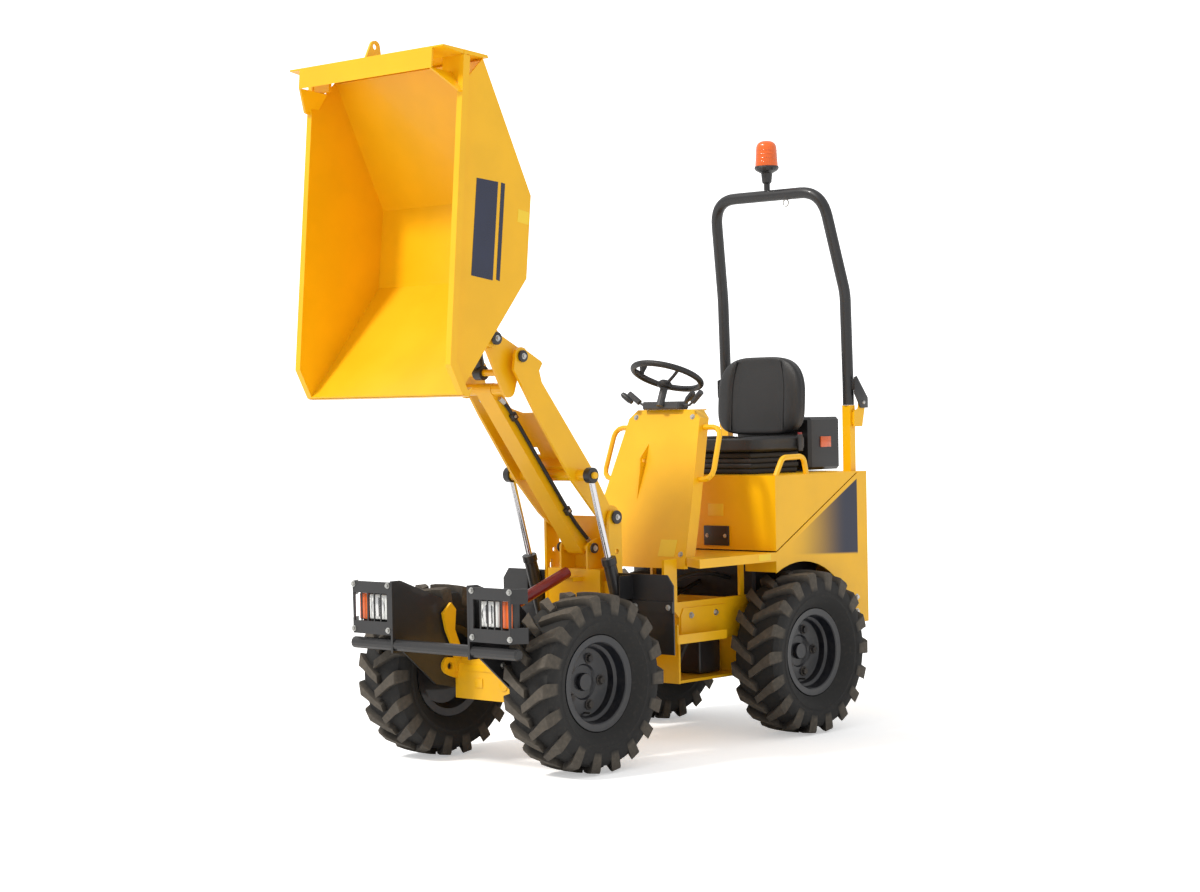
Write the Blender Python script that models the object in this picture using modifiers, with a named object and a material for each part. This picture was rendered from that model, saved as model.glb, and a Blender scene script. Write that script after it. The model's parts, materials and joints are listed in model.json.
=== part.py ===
"""Hi-tip site dumper: an articulated chassis, a parallelogram lift and a forward-tipping skip.

Sizes are in metres. Machine coordinates: X to the machine's left, Y to its rear with the
front axle at 0, Z up from the ground. It stands with the lift raised and the skip tipped.
"""

import math

import bmesh
import bpy
from mathutils import Matrix, Vector

# Clearances
SEAT = 0.0003  # between pieces that rest on each other
RUN = 0.0008  # around a turning pin and beside a running face
SIDES = ((1, "left"), (-1, "right"))

# Wheels and axles
WHEELBASE = 1.271
TYRE_R = 0.328
TYRE_W = 0.215
TYRE_X = 0.3875
BEAD_R = 0.1525
FLANGE_R = 0.176
HUB_R = 0.052
HUB_X = 0.3375
AXLE_R = 0.046
AXLE_Z = TYRE_R
DIFF_R = 0.070

# Front chassis
BOX_X = 0.1977
BOX_WALL = 0.012
BOX_FRONT_Y = -0.09
BOX_REAR_Y = 0.330
FOOT_REAR_Y = 0.440
BOX_LOW_Z = 0.24
BOX_TOP_Z = 0.44
NOSE_TOP_Z = 0.372
BUMPER_R = 0.022
BUMPER_X = 0.435
BUMPER_Y = -0.382
BUMPER_Z = 0.463
GUARD_PLATE = 0.010
GUARD_Y = -0.404
GUARD_TOP_Z = 0.695
GUARD_LOW_Z = 0.500
GUARD_OUT_X = 0.417
PIVOT_Y = 0.600
YOKE_R = 0.055
YOKE_LOW_Z = 0.290
YOKE_TOP_Z = 0.470
YOKE_PLATE = 0.020

# Stowed safety prop
PROP_FRONT = Vector((0.030, -0.050, 0.575))
PROP_REAR = Vector((0.030, 0.290, 0.690))
PROP_R = 0.022

# Tower that carries the lift
TOWER_BASE_X = 0.138
TOWER_FRONT_Y = 0.360
TOWER_BASE_Z = 0.705
TOWER_IN_X = 0.160
TOWER_PLATE = 0.012
TOWER_Y = (0.378, 0.451)
TOWER_TOP_Z = 0.930
ARM_PIN = Vector((0.416, 0.904))
ARM_PIN_R = 0.020

# Lift arms, in their own frame: along the arm from the tower pin, out towards the front
ARM_LENGTH = 0.7757
ARM_RAISE = math.radians(52.31)
ARM_IN_X = 0.142
ARM_PLATE = 0.012
ARM_END_R = 0.045
TIP_PIN_R = 0.015
RAM_EYE = (0.2396, 0.0387)  # along, out

# Parallelogram link
LINK_PIN = Vector((0.385, 0.785))
LINK_X = 0.040
LINK_HALF_DEPTH = 0.0235
LINK_PIN_R = 0.012
RIB_IN_X = 0.0645
RIB_PLATE = 0.010
HOSE_R = 0.0075
HOSE_X = 0.050
HOSE_ROUTE = (  # along the link, out
    (0.735, 0.008),
    (0.700, -0.004),
    (0.600, -0.008),
    (0.350, -0.008),
    (0.120, -0.010),
    (0.050, -0.020),
    (0.002, -0.028),
)

# Carrier at the arms' end, and the skip's pivot ahead of it
CARRIER_IN_X = 0.104
CARRIER_PLATE = 0.012
SKIP_PIN_OFFSET = Vector((-0.122, 0.065))
TIP_RAM_OFFSET = Vector((-0.062, -0.058))
SKIP_PIN_R = 0.014

# Skip, in its own level frame from its pivot: ahead, up
SKIP_TIP = math.radians(85.06)
SKIP_X = 0.390
SKIP_WALL = 0.006
RIM_X = 0.410
RIM_DEPTH = 0.030
SKIP_LIP = (0.243, 0.4085)
SKIP_MOUTH = (0.143, 0.4723)
SKIP_REAR_RIM = (-0.8091, 0.4722)
SKIP_REAR_TOP = (-0.9341, 0.3616)
SKIP_FLOOR_REAR = (-0.4903, 0.0975)
SKIP_FLOOR_FRONT = (-0.1939, 0.1021)
GUARD_UP = 0.567
BROW_EDGE = (-0.869, GUARD_UP)
LUG_IN_X = 0.122
LUG_PLATE = 0.012
TIP_EYE = (-0.220, 0.055)

# Rams
LIFT_RAM_PIN = Vector((0.425, 0.430))
LIFT_RAM_X = 0.210
LIFT_BARREL_R = 0.025
LIFT_BARREL = 0.338
LIFT_ROD_R = 0.0125
LIFT_OVERLAP = 0.060
LIFT_EYE_R = 0.030
TIP_BARREL_R = 0.022
TIP_BARREL = 0.200
TIP_ROD_R = 0.011
TIP_OVERLAP = 0.045
TIP_EYE_R = 0.020

# Rear chassis, platform and body
RAIL_X = 0.228
RAIL_PLATE = 0.012
RAIL_Z = (0.400, 0.560)
BODY_X = 0.400
BODY_Y = (1.110, 1.720)
BODY_TOP_Z = 1.040
BODY_LOW_Z = 0.414
COVER_REAR_Y = 1.660
PANEL = 0.005
ARCH_R = 0.362
DECK_Z = (0.700, 0.735)
DECK_FRONT_Y = 0.640
COVER_HINGE = (1.077, 0.726)
CONSOLE_FOOT = (0.700, 0.690)
CONSOLE_TOP_Z = 1.310
CONSOLE_LEAN = 0.350
CONSOLE_DEPTH = 0.057
CONSOLE_X = ((0.270, 0.690), (0.237, 0.950), (0.188, 1.275), (0.150, 1.310))
HANDLE_R = 0.011

# Controls and seat
COLUMN_TOP = Vector((0, 0.909, 1.397))
COLUMN_TILT = math.radians(22)
WHEEL_R = 0.1525
WHEEL_GRIP_R = 0.013
SEAT_Y = (1.190, 1.560)
REAR_REACH = 1.810

# Roll bar
ROPS_X = 0.330
ROPS_Y = 1.6975
ROPS_R = 0.024
ROPS_SOCKET = (0.040, 0.035)
ROPS_SOCKET_TOP = 1.314
ROPS_KINK = Vector((0.330, 1.687, 1.781))
ROPS_CORNER = Vector((0.287, 1.5925, 2.205))
ROPS_HINGE = (1.745, 1.325)

YELLOW = ("yellow_paint", (0.85, 0.42, 0.01, 1), 0.4, 0.0)
BLACK = ("black_paint", (0.02, 0.02, 0.022, 1), 0.4, 0.0)
RUBBER = ("tyre_rubber", (0.015, 0.015, 0.015, 1), 0.85, 0.0)
RIM = ("rim_paint", (0.01, 0.012, 0.02, 1), 0.4, 0.0)
CHROME = ("chrome_rod", (0.6, 0.6, 0.62, 1), 0.2, 1.0)
IRON = ("cast_iron", (0.06, 0.06, 0.065, 1), 0.6, 0.0)
VINYL = ("black_vinyl", (0.02, 0.02, 0.02, 1), 0.5, 0.0)
PLASTIC = ("grey_plastic", (0.12, 0.12, 0.13, 1), 0.5, 0.0)
LAMP = ("lamp_glass", (0.9, 0.88, 0.8, 1), 0.1, 0.0)
AMBER = ("amber_lens", (0.9, 0.25, 0.01, 1), 0.15, 0.0)
RED = ("red_paint", (0.5, 0.01, 0.015, 1), 0.4, 0.0)
HOSE = ("hose_rubber", (0.02, 0.02, 0.02, 1), 0.6, 0.0)


# ---------------------------------------------------------------- scene and shape helpers
def clear_scene():
    """Remove whatever the scene holds."""
    for obj in list(bpy.data.objects):
        bpy.data.objects.remove(obj, do_unlink=True)


def new_collection(name, hidden=False):
    """Make a collection in the scene."""
    collection = bpy.data.collections.new(name)
    bpy.context.scene.collection.children.link(collection)
    collection.hide_render = hidden
    return collection


clear_scene()
PARTS = new_collection("site_dumper")
CUTTERS = new_collection("cutters", hidden=True)


def helper_object(data):
    """Link a shape as a hidden helper until it is named or joined."""
    obj = bpy.data.objects.new("helper", data)
    CUTTERS.objects.link(obj)
    obj.display_type = "WIRE"
    obj.hide_render = True
    return obj


def baked(obj):
    """Turn an object into a plain closed mesh in machine coordinates."""
    bpy.context.view_layer.update()
    graph = bpy.context.evaluated_depsgraph_get()
    mesh = bpy.data.meshes.new_from_object(obj.evaluated_get(graph))
    mesh.transform(obj.matrix_world)
    work = bmesh.new()
    work.from_mesh(mesh)
    bmesh.ops.remove_doubles(work, verts=work.verts, dist=1e-6)
    bmesh.ops.recalc_face_normals(work, faces=work.faces)
    work.to_mesh(mesh)
    work.free()
    bpy.data.objects.remove(obj, do_unlink=True)
    return helper_object(mesh)


def combine(first, others, operation, solver="EXACT"):
    """Apply one Boolean for each of the other shapes, in turn."""
    for other in others:
        modifier = first.modifiers.new(operation.title(), "BOOLEAN")
        modifier.operation = operation
        modifier.solver = solver
        modifier.object = other
        first = baked(first)
        bpy.data.objects.remove(other, do_unlink=True)
    return first


def join(first, *others):
    """Union shapes that overlap."""
    return combine(first, others, "UNION")


def cut(first, *others):
    """Take the other shapes out of the first."""
    return combine(first, others, "DIFFERENCE")


def keep_inside(first, other):
    """Keep what two shapes share."""
    return combine(first, [other], "INTERSECT")


def block(low, high):
    """A box between two opposite corners."""
    work = bmesh.new()
    bmesh.ops.create_cube(work, size=1)
    mesh = bpy.data.meshes.new("block")
    work.to_mesh(mesh)
    work.free()
    size = Vector(high) - Vector(low)
    middle = (Vector(high) + Vector(low)) / 2
    mesh.transform(Matrix.Translation(middle) @ Matrix.Diagonal((*size, 1)))
    return helper_object(mesh)


def spread(side, inner, outer):
    """The ordered X range from inner to outer on one side of the machine."""
    return tuple(sorted((side * inner, side * outer)))


def side_block(side, x_range, y_range, z_range):
    """A box on one side of the machine."""
    low_x, high_x = spread(side, *x_range)
    return block((low_x, y_range[0], z_range[0]), (high_x, y_range[1], z_range[1]))


AXES = {
    "X": Matrix(((0, 0, 1, 0), (1, 0, 0, 0), (0, 1, 0, 0), (0, 0, 0, 1))),
    "Y": Matrix(((1, 0, 0, 0), (0, 0, -1, 0), (0, 1, 0, 0), (0, 0, 0, 1))),
    "Z": Matrix.Identity(4),
}


def prism(outline, low, high, axis="X", holes=(), place=None):
    """A flat outline with thickness: (Y, Z) points for X, (X, Z) for Y and (X, Y) for Z."""
    curve = bpy.data.curves.new("outline", "CURVE")
    curve.dimensions = "2D"
    curve.fill_mode = "BOTH"
    for points in (outline, *holes):
        spline = curve.splines.new("POLY")
        spline.points.add(len(points) - 1)
        spline.use_cyclic_u = True
        for point, place_2d in zip(spline.points, points):
            point.co = (place_2d[0], place_2d[1], 0, 1)
    curve.extrude = (high - low) / 2
    obj = helper_object(curve)
    middle = (high + low) / 2
    if axis == "Y":
        middle = -middle
    obj.matrix_world = (place or Matrix.Identity(4)) @ AXES[axis] @ Matrix.Translation((0, 0, middle))
    return baked(obj)


def rod(start, end, radius, steps=12):
    """A straight round bar between two points."""
    start, end = Vector(start), Vector(end)
    work = bmesh.new()
    length = (end - start).length
    bmesh.ops.create_cone(
        work, cap_ends=True, segments=steps, radius1=radius, radius2=radius, depth=length
    )
    mesh = bpy.data.meshes.new("rod")
    work.to_mesh(mesh)
    work.free()
    turn = (end - start).to_track_quat("Z", "Y").to_matrix().to_4x4()
    mesh.transform(Matrix.Translation((start + end) / 2) @ turn)
    return helper_object(mesh)


def cross_rod(center, x_low, x_high, radius, steps=12):
    """A round bar along X through a (Y, Z) centre."""
    return rod((x_low, *center), (x_high, *center), radius, steps)


def tube(points, radius, resolution=2):
    """A round bar along a path."""
    curve = bpy.data.curves.new("path", "CURVE")
    curve.dimensions = "3D"
    curve.bevel_depth = radius
    curve.bevel_resolution = resolution
    curve.use_fill_caps = True
    spline = curve.splines.new("POLY")
    spline.points.add(len(points) - 1)
    for point, place in zip(spline.points, points):
        point.co = (*place, 1)
    return baked(helper_object(curve))


def arc(center, radius, start, stop, steps):
    """Points on an arc; the angles are in degrees."""
    points = []
    for index in range(steps + 1):
        angle = math.radians(start + (stop - start) * index / steps)
        points.append((center[0] + radius * math.cos(angle), center[1] + radius * math.sin(angle)))
    return points


def circle(center, radius, steps=16):
    """Points around a full circle."""
    return arc(center, radius, 0, 360 - 360 / steps, steps - 1)


def filleted(points, radii, steps=5):
    """A path whose inner corners are arcs of the given radii."""
    path = [Vector(points[0])]
    for index, radius in enumerate(radii, start=1):
        corner = Vector(points[index])
        before = (Vector(points[index - 1]) - corner).normalized()
        after = (Vector(points[index + 1]) - corner).normalized()
        half = before.angle(after) / 2
        reach = radius / math.tan(half)
        middle = corner + (before + after).normalized() * (radius / math.sin(half))
        start = (corner + before * reach - middle).normalized()
        stop = (corner + after * reach - middle).normalized()
        for step in range(steps + 1):
            path.append(middle + start.slerp(stop, step / steps) * radius)
    path.append(Vector(points[-1]))
    return path


def wrapped(circles, steps=20):
    """The taut outline around several (centre, radius) circles."""
    cloud = sorted({point for center, radius in circles for point in circle(center, radius, steps)})

    def half_hull(points):
        hull = []
        for point in points:
            while len(hull) > 1 and turn(hull[-2], hull[-1], point) <= 1e-12:
                hull.pop()
            hull.append(point)
        return hull[:-1]

    def turn(first, second, third):
        ahead = (second[0] - first[0], second[1] - first[1])
        return ahead[0] * (third[1] - first[1]) - ahead[1] * (third[0] - first[0])

    return half_hull(cloud) + half_hull(cloud[::-1])


def turned(profile, steps, place):
    """A turned shape about local Z from (radius, height) points that run down its outer side."""
    mesh = bpy.data.meshes.new("profile")
    rows = [(radius, 0, height) for radius, height in profile]
    edges = [(index, (index + 1) % len(rows)) for index in range(len(rows))]
    if profile[0][0] == 0 and profile[-1][0] == 0:
        edges.pop()
    mesh.from_pydata(rows, edges, [])
    obj = helper_object(mesh)
    screw = obj.modifiers.new("Screw", "SCREW")
    screw.steps = steps
    screw.render_steps = steps
    screw.use_merge_vertices = True
    screw.merge_threshold = 1e-5
    obj.matrix_world = place
    return baked(obj)


def bevelled(obj, width, segments=2):
    """Round a shape's sharp edges."""
    modifier = obj.modifiers.new("Bevel", "BEVEL")
    modifier.width = width
    modifier.segments = segments
    modifier.limit_method = "ANGLE"
    modifier.angle_limit = math.radians(40)
    return baked(obj)


def pick_material(look):
    """The Principled material with this look, made once."""
    name, color, roughness, metallic = look
    material = bpy.data.materials.get(name)
    if material:
        return material
    material = bpy.data.materials.new(name)
    material.use_nodes = True
    shader = material.node_tree.nodes["Principled BSDF"]
    shader.inputs["Base Color"].default_value = color
    shader.inputs["Roughness"].default_value = roughness
    shader.inputs["Metallic"].default_value = metallic
    material.diffuse_color = color
    return material


def piece(name, obj, look, body):
    """Name a finished shape, give it its material and hang it on its body's empty."""
    obj.name = name
    obj.data.name = name
    obj.data.materials.clear()
    obj.data.materials.append(pick_material(look))
    obj.hide_render = False
    obj.display_type = "TEXTURED"
    CUTTERS.objects.unlink(obj)
    PARTS.objects.link(obj)
    pivot = BODIES[body]
    obj.data.transform(Matrix.Translation(-Vector(pivot["at"])))
    obj.parent = pivot["empty"]
    obj.data.shade_smooth()
    obj.data.set_sharp_from_angle(angle=math.radians(35))
    return obj


# ---------------------------------------------------------------- the lift's geometry
ALONG = Vector((-math.cos(ARM_RAISE), math.sin(ARM_RAISE)))
OUT = Vector((-math.sin(ARM_RAISE), -math.cos(ARM_RAISE)))


def on_arm(along, out, origin=ARM_PIN):
    """(Y, Z) of a point given in the arm's frame."""
    return origin + ALONG * along + OUT * out


def on_skip(ahead, up):
    """(Y, Z) of a point given in the skip's level frame, at the tipped rest angle."""
    forward = Vector((-math.cos(SKIP_TIP), -math.sin(SKIP_TIP)))
    upward = Vector((-math.sin(SKIP_TIP), math.cos(SKIP_TIP)))
    return SKIP_PIN + forward * ahead + upward * up


ARM_TIP = on_arm(ARM_LENGTH, 0)
LINK_TIP = LINK_PIN + ARM_TIP - ARM_PIN
SKIP_PIN = ARM_TIP + SKIP_PIN_OFFSET
TIP_RAM_PIN = ARM_TIP + TIP_RAM_OFFSET
LIFT_EYE = on_arm(*RAM_EYE)
TIP_ROD_EYE = on_skip(*TIP_EYE)
COLUMN_AXIS = Vector((0, math.sin(COLUMN_TILT), math.cos(COLUMN_TILT)))

FRONT_REACH = on_skip(*BROW_EDGE)[0]


def body_places():
    """Where each moving body's empty stands, on its joint's axis."""
    return {
        "rear_chassis": (0, 0, 0),
        "front_chassis": (0, PIVOT_Y, AXLE_Z),
        "lift_arms": (0, *ARM_PIN),
        "carrier": (0, *ARM_TIP),
        "skip": (0, *SKIP_PIN),
        "centre_link": (0, *LINK_PIN),
        "lift_barrels": (0, *LIFT_RAM_PIN),
        "lift_rods": (0, *LIFT_EYE),
        "tip_barrel": (0, *TIP_RAM_PIN),
        "tip_rod": (0, *TIP_ROD_EYE),
        "wheel_front_left": (TYRE_X, 0, AXLE_Z),
        "wheel_front_right": (-TYRE_X, 0, AXLE_Z),
        "wheel_rear_left": (TYRE_X, WHEELBASE, AXLE_Z),
        "wheel_rear_right": (-TYRE_X, WHEELBASE, AXLE_Z),
        "steering_wheel": tuple(COLUMN_TOP),
        "roll_bar": (0, *ROPS_HINGE),
        "engine_cover": (0, *COVER_HINGE),
    }


def make_bodies():
    """One empty for each body, all under a root that centres the machine on the ground."""
    root = bpy.data.objects.new("site_dumper_root", None)
    PARTS.objects.link(root)
    root.location = (0, -(FRONT_REACH + REAR_REACH) / 2, 0)
    bodies = {}
    for name, place in body_places().items():
        empty = bpy.data.objects.new(name + "_pivot", None)
        PARTS.objects.link(empty)
        empty.parent = root
        empty.location = place
        bodies[name] = {"empty": empty, "at": place}
    return bodies


BODIES = make_bodies()


# ---------------------------------------------------------------- wheels and axles
def make_tyre(name, side, wheel_y, body):
    """A solid tyre ring in its outer shape."""
    half = TYRE_W / 2
    rows = [
        (TYRE_R, half * 0.55),
        (TYRE_R * 0.985, half * 0.93),
        (0.265, half),
        (0.205, half * 0.87),
        (FLANGE_R + 0.0025, 0.070),
        (FLANGE_R + SEAT, 0.0625),
        (BEAD_R + SEAT, 0.056),
    ]
    profile = [(radius, -height) for radius, height in rows[::-1]]
    profile = rows + profile
    place = Matrix.Translation((side * TYRE_X, wheel_y, AXLE_Z)) @ Matrix.Rotation(
        math.radians(90), 4, "Y"
    )
    piece(name, turned(profile, 24, place), RUBBER, body)


def make_rim(name, side, wheel_y, body):
    """A dished disc wheel with its barrel, flanges and hub."""
    inner = [(FLANGE_R, -0.072), (0.147, -0.068), (0.129, -0.026)]
    hub = [(HUB_R, -0.022), (HUB_R, HUB_X - TYRE_X), (0, HUB_X - TYRE_X)]
    face = [(0, 0.004), (0.032, 0.004), (0.034, -0.014), (0.124, -0.006)]
    outer = [(0.129, 0.024), (0.147, 0.068), (FLANGE_R, 0.072)]
    seat = [
        (FLANGE_R, 0.064),
        (BEAD_R, 0.058),
        (0.136, 0.022),
        (0.136, -0.022),
        (BEAD_R, -0.058),
        (FLANGE_R, -0.064),
    ]
    profile = face + outer + seat + inner + hub
    place = Matrix.Translation((side * TYRE_X, wheel_y, AXLE_Z)) @ Matrix.Rotation(
        math.radians(90 * side), 4, "Y"
    )
    piece(name, turned(profile, 24, place), RIM, body)


def make_wheels():
    """Four wheels, each a tyre on its rim."""
    for end, wheel_y in (("front", 0), ("rear", WHEELBASE)):
        for side, hand in SIDES:
            body = f"wheel_{end}_{hand}"
            make_tyre(f"tyre_{end}_{hand}", side, wheel_y, body)
            make_rim(f"rim_{end}_{hand}", side, wheel_y, body)


def make_axle(name, wheel_y, body):
    """A live axle: one beam with a differential bulge."""
    reach = HUB_X - RUN
    center = (wheel_y, AXLE_Z)
    beam = cross_rod(center, -reach, reach, AXLE_R)
    bulge = cross_rod(center, -0.095, 0.095, DIFF_R)
    piece(name, join(beam, bulge), IRON, body)


# ---------------------------------------------------------------- front chassis
def make_front_frame():
    """Chassis box, tower, steering yoke, pins and lugs, welded into one."""
    roof = [(BOX_FRONT_Y, NOSE_TOP_Z), (-0.055, 0.405), (0.02, BOX_TOP_Z), (BOX_REAR_Y, BOX_TOP_Z)]
    outline = [(BOX_FRONT_Y, BOX_LOW_Z), *roof, (BOX_REAR_Y, BOX_LOW_Z)]
    shell = prism(outline, -BOX_X, BOX_X)
    wall = BOX_WALL
    inside_roof = [
        (BOX_FRONT_Y + wall, NOSE_TOP_Z - wall),
        (-0.055 + wall / 2, 0.405 - wall),
        (0.02, BOX_TOP_Z - wall),
        (BOX_REAR_Y - wall, BOX_TOP_Z - wall),
    ]
    below = BOX_LOW_Z - 0.05
    hollow = [(BOX_FRONT_Y + wall, below), *inside_roof, (BOX_REAR_Y - wall, below)]
    frame = cut(shell, prism(hollow, -BOX_X + wall, BOX_X - wall))
    parts = [*tower_parts(), *yoke_parts(), *pin_parts(), *prop_cradles(), nose_bracket()]
    parts += [nose_lug(side) for side, _ in SIDES]
    frame = combine(frame, parts, "UNION", "MANIFOLD")
    axle_hole = cross_rod((0, AXLE_Z), -BOX_X - 0.05, BOX_X + 0.05, AXLE_R + SEAT)
    pin_hole = rod((0, PIVOT_Y, 0.2), (0, PIVOT_Y, 0.6), 0.018 + RUN)
    frame = combine(frame, [axle_hole, pin_hole], "DIFFERENCE", "MANIFOLD")
    piece("front_frame", frame, YELLOW, "front_chassis")


def tower_parts():
    """The tower's foot, its two outer plates, the rear plate and the link's ribs."""
    front_y, rear_y = TOWER_Y
    outer = TOWER_IN_X + TOWER_PLATE
    low = BOX_TOP_Z - 0.02
    parts = [block((-TOWER_BASE_X, TOWER_FRONT_Y, low), (TOWER_BASE_X, rear_y, TOWER_BASE_Z))]
    foot_x = outer - 0.002
    foot_low = (-foot_x, BOX_REAR_Y - 0.010, BOX_LOW_Z + 0.001)
    parts.append(block(foot_low, (foot_x, FOOT_REAR_Y, BOX_TOP_Z - 0.001)))
    parts.append(block((-foot_x, front_y + 0.006, low), (foot_x, rear_y - 0.006, 0.66)))
    parts.append(block((-0.132, rear_y - 0.010, TOWER_BASE_Z - 0.01), (0.132, rear_y, 0.905)))
    for side, _ in SIDES:
        x_low, x_high = spread(side, TOWER_IN_X, outer)
        top = TOWER_TOP_Z
        face = [
            (front_y, low),
            (rear_y, low),
            (rear_y, top - 0.02),
            (rear_y - 0.02, top),
            (front_y + 0.012, top),
            (front_y, top - 0.03),
        ]
        slot = [(0.396, 0.70), (0.412, 0.70), (0.412, 0.735), (0.396, 0.735)]
        hole = circle((0.422, 0.772), 0.010, 12)
        parts.append(prism(face, x_low, x_high, holes=(slot, hole)))
        x_low, x_high = spread(side, RIB_IN_X, RIB_IN_X + RIB_PLATE)
        rib = wrapped([(tuple(LINK_PIN), 0.024), ((0.425, 0.80), 0.022)])
        foot = [(0.361, 0.70), (0.447, 0.70), (0.447, 0.80), (0.361, 0.79)]
        parts.append(prism(rib, x_low, x_high))
        parts.append(prism(foot, x_low + 0.001, x_high - 0.001))
    return parts


def yoke_parts():
    """Two plates that reach back to the steering pivot, and the struts that stiffen them."""
    parts = []
    nose = arc((0, PIVOT_Y), YOKE_R, 0, 180, 12)
    outline = [(-0.12, FOOT_REAR_Y - 0.02), (0.12, FOOT_REAR_Y - 0.02), *nose]
    levels = ((YOKE_LOW_Z - YOKE_PLATE, YOKE_LOW_Z), (YOKE_TOP_Z, YOKE_TOP_Z + YOKE_PLATE))
    for low, high in levels:
        parts.append(prism(outline, low, high, "Z"))
    parts.append(block((-0.10, FOOT_REAR_Y - 0.01, BOX_TOP_Z - 0.03), (0.10, 0.452, YOKE_TOP_Z + 0.03)))
    return parts


def pin_parts():
    """The pins that the arms, the link and the lift rams turn on."""
    outer = TOWER_IN_X + TOWER_PLATE
    parts = [cross_rod(LINK_PIN, -0.088, 0.088, LINK_PIN_R)]
    for side, _ in SIDES:
        low, high = spread(side, ARM_IN_X - 0.004, outer + 0.006)
        parts.append(cross_rod(ARM_PIN, low, high, ARM_PIN_R))
        low, high = spread(side, outer - 0.004, LIFT_RAM_X + LIFT_BARREL_R + 0.004)
        parts.append(cross_rod(LIFT_RAM_PIN, low, high, 0.014))
        low, high = spread(side, outer - 0.004, 0.180)
        parts.append(cross_rod(LIFT_RAM_PIN, low, high, 0.026))
    return parts


def nose_lug(side):
    """A tie-down lug with a hole, beside the front plate."""
    low, high = spread(side, BOX_X - BOX_WALL, BOX_X)
    rear = BOX_FRONT_Y + 0.010
    face = [
        (rear, 0.31),
        (-0.125, 0.325),
        *arc((-0.130, 0.365), 0.034, 240, 110, 8),
        (rear, 0.390),
    ]
    return prism(face, low, high, holes=(circle((-0.128, 0.363), 0.014, 16),))


def nose_bracket():
    """A small pointed bracket that stands on the right of the nose."""
    face = [
        (-0.080, 0.340),
        (-0.080, 0.440),
        (-0.105, 0.500),
        (-0.098, 0.575),
        (-0.122, 0.602),
        (-0.165, 0.565),
        (-0.150, 0.500),
        (-0.112, 0.420),
        (-0.098, 0.340),
    ]
    return prism(face, -0.190, -0.179)


def prop_cradles():
    """The brackets that hold the stowed safety prop at its front end and at the tower."""
    front = block((0.018, -0.010, 0.400), (0.042, 0.000, 0.5655))
    rear = block((0.010, 0.300, 0.660), (0.050, TOWER_FRONT_Y + 0.004, 0.676))
    return [front, rear]


def make_safety_prop():
    """The red prop stowed between the arms."""
    lift = Vector((0, 0, 0.001))
    piece("safety_prop", rod(PROP_FRONT + lift, PROP_REAR + lift * 6, PROP_R), RED, "front_chassis")


def make_bumper():
    """The round bar across the nose."""
    bar = cross_rod((BUMPER_Y, BUMPER_Z), -BUMPER_X, BUMPER_X, BUMPER_R)
    piece("bumper_tube", bevelled(bar, 0.006, 1), BLACK, "front_chassis")


def make_lamp_guard(side, hand):
    """The side plate, the barred front frame and the swept outer piece."""
    inner, outer = BOX_X + SEAT, BOX_X + SEAT + GUARD_PLATE
    side_face = [
        (GUARD_Y, 0.435),
        (-0.350, 0.435),
        (-0.190, 0.300),
        (-0.050, 0.270),
        (-0.050, 0.345),
        (-0.115, 0.400),
        (-0.115, 0.580),
        (-0.155, 0.620),
        (-0.360, 0.700),
        (GUARD_Y, 0.700),
    ]
    plate = prism(side_face, *spread(side, inner, outer))
    depth = (GUARD_Y + 0.0005, GUARD_Y + 0.0065)
    frame_x = (outer - 0.002, GUARD_OUT_X)
    window = [(0.228, 0.548), (0.405, 0.548), (0.405, 0.652), (0.228, 0.652)]
    face = [
        (frame_x[0], GUARD_LOW_Z),
        (frame_x[1] - 0.004, GUARD_LOW_Z),
        (frame_x[1], GUARD_TOP_Z),
        (frame_x[0], GUARD_TOP_Z),
    ]
    if side < 0:
        window = [(-x, z) for x, z in window]
        face = [(-x, z) for x, z in face]
    frame = prism(face, *depth, axis="Y", holes=(window,))
    bars = []
    for index in range(4):
        x = 0.228 + (0.405 - 0.228) * (index + 1) / 5
        thin = (depth[0] + 0.001, depth[1] - 0.001)
        bars.append(side_block(side, (x - 0.003, x + 0.003), thin, (0.545, 0.655)))
    sweep = [(0.408, GUARD_Y + 0.002), (0.416, GUARD_Y + 0.001), (0.452, -0.352), (0.446, -0.348)]
    if side < 0:
        sweep = [(-x, y) for x, y in sweep]
    swept = [
        prism(sweep, 0.641, GUARD_TOP_Z - 0.001, "Z"),
        prism(sweep, GUARD_LOW_Z + 0.001, 0.557, "Z"),
    ]
    shelf = side_block(side, (outer - 0.002, 0.400), (GUARD_Y + 0.003, -0.330), (0.502, 0.508))
    guard = join(plate, frame, *bars, *swept, shelf)
    guard = cut(guard, cross_rod((BUMPER_Y, BUMPER_Z), -0.5, 0.5, BUMPER_R + SEAT))
    piece(f"lamp_guard_{hand}", guard, BLACK, "front_chassis")


def make_headlamp(side, hand):
    """A clear lamp and an amber one on one housing."""
    low_z, high_z = 0.508 + SEAT, 0.655
    housing = side_block(side, (0.235, 0.398), (-0.372, -0.335), (low_z, high_z))
    clear = side_block(side, (0.240, 0.345), (-0.388, -0.370), (0.550, 0.650))
    amber = side_block(side, (0.355, 0.398), (-0.388, -0.370), (0.550, 0.650))
    piece(f"headlamp_{hand}", join(housing, clear, amber), LAMP, "front_chassis")


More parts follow.
